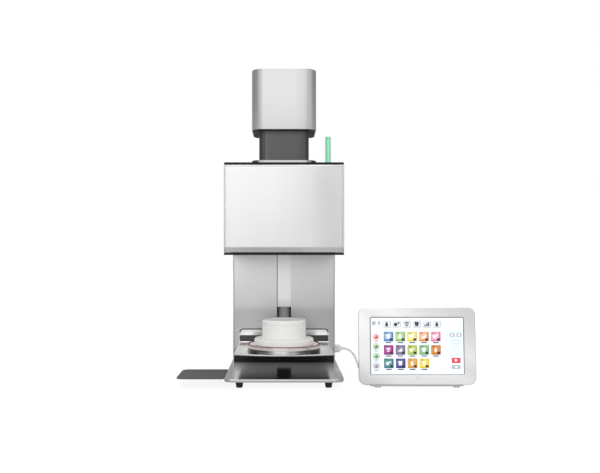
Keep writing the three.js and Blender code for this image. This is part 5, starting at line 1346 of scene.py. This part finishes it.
mark_foot, mark_top = -0.05, 0.1
on_line = bar(0, 4.6, 0.8, 4, 0.2)
outer, inner = circle(0, 4.6, 2.2, 32), circle(0, 4.6, 1.5, 32)
on_mark = rocker_mark([(on_line, mark_foot), (on_line, mark_top)], 1)
off_lines = [(outer, mark_foot), (outer, mark_top), (inner, mark_top), (inner, mark_foot)]
off_mark = rocker_mark(off_lines, -1, joined=True)
piece("rocker_marks", together(on_mark, off_mark), "pale_plastic", body="mains_switch")


# %% Dome screws
def screws(name, places, along, sign):
    """Dome heads 5 mm across with a six-sided recess. Each head is turned, and each of its lines is a
    circle whose radius becomes that of a hexagon, r / cos(a mod 60 - 30 degrees), in the recess."""
    angle = around(36)
    hexagon = 1 / np.cos(np.mod(angle, np.pi / 3) - np.pi / 6)
    dome = [(2.5, 0), (2.5, 0.25), (2.3, 0.6), (1.9, 0.85)]
    recess = [(1.25 * hexagon, 0.95), (1.15 * hexagon, 0.85), (1.15 * hexagon, 0.3)]
    lines = [
        np.stack([radius * np.cos(angle), radius * np.sin(angle), np.full(36, sign * height)], 1)
        for radius, height in dome + recess
    ]
    points, faces = lofted(lines)
    heads = [(stand_up(points, along) + place, faces) for place in places]
    piece(name, together(*heads), "machined_steel")


cover_heights = np.linspace(cover_low[2] + 10, cover_high[2] - 12, 4)
cover_sides = (cover_low[0] + 7, cover_high[0] - 7)
screws("cover_screws", [(x, cover_face, z) for x in cover_sides for z in cover_heights], "y", 1)
side_places = [(y, z) for y in (column_y + 12, side_rear - 12) for z in (side_foot + 14, shell_high - 14)]
side_places += [(front_y + 16, z) for z in (shell_low + 22, shell_high - 18)]
screws("left_sheet_screws", [(left_low[0], *place) for place in side_places], "x", -1)
right_face = span("side_plate_right")[1][0]
screws("right_sheet_screws", [(right_face, *place) for place in side_places], "x", 1)

# %% [markdown]
# The heating element
# The element is one quartz tube, wound seven times against the wall of the chamber, with both ends led
# out through the insulation. Its centreline is a helix between two straight leads, and a ring of points
# is set across it at each step.


# %% Winding
def winding_line(pitch=11, turns=7, bend=7.3, radius=58.7, lead_end=89.7):
    """A lead straight in, a quarter circle into the winding, a helix of seven turns, and the same way out
    again."""
    low_z = span("head_bottom_plate")[1][2] + 20.3
    high_z = low_z + pitch * turns
    start = math.sqrt(radius**2 - bend**2)
    quarter = np.linspace(0, np.pi / 2, 7)
    bend_x = np.r_[lead_end, start + bend * (1 - np.sin(quarter))]
    bend_y = np.r_[0, bend * (1 - np.cos(quarter))]
    lead_in = np.stack([bend_x, bend_y, np.full(8, low_z)], 1)
    lead_out = np.stack([bend_x, -bend_y, np.full(8, high_z)], 1)[::-1]
    bend_angle = math.asin(bend / radius)
    share = np.linspace(0, 1, turns * 36 + 1)[1:-1]
    angle = bend_angle + share * (2 * np.pi * turns - 2 * bend_angle)
    helix = np.stack([radius * np.cos(angle), radius * np.sin(angle), low_z + share * (high_z - low_z)], 1)
    return np.vstack([lead_in, helix, lead_out]) + [axis_x, axis_y, 0]


def tube_shape(line, radius, sides):
    """Rings across a line: line + radius (cos a side + sin a over), where side is the direction crossed
    with up and over is side crossed with the direction."""
    direction = unit(np.gradient(line, axis=0))
    side = unit(np.cross(direction, [0, 0, 1]))
    over = np.cross(side, direction)
    angle = around(sides)[None, :, None]
    return lofted(line[:, None] + radius * (np.cos(angle) * side[:, None] + np.sin(angle) * over[:, None]))


piece("wound_quartz_element", tube_shape(winding_line(), 4, 16), "quartz", "heating_element")

# %% [markdown]
# The remaining solids
# What stays as it came from the frame gets the finish of its slot in the record. Moving inner parts, the
# chamber's insulation and the plain plates are among them.

# %% Finishes for the solids that stay
slots = {part["node"]: part["material_slot"] for part in frame["record"]["subparts"]}
# the column gets its lighter copy of the sheet steel, which carries painted light and shade
slots["column_front"] = "brushed_column"
for node, made in frame["nodes"].items():
    for place in made.material_slots:
        place.material = finishes[slots[node]]
kept = [node for node, made in frame["nodes"].items() if not made.hide_render]
print(len(kept), "solids stay:", ", ".join(kept))

# %% [markdown]
# The last measure
# The box round the dressed model is printed.

# %% Sizes
low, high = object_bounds()
print("box", [round(number, 4) for number in low], [round(number, 4) for number in high])
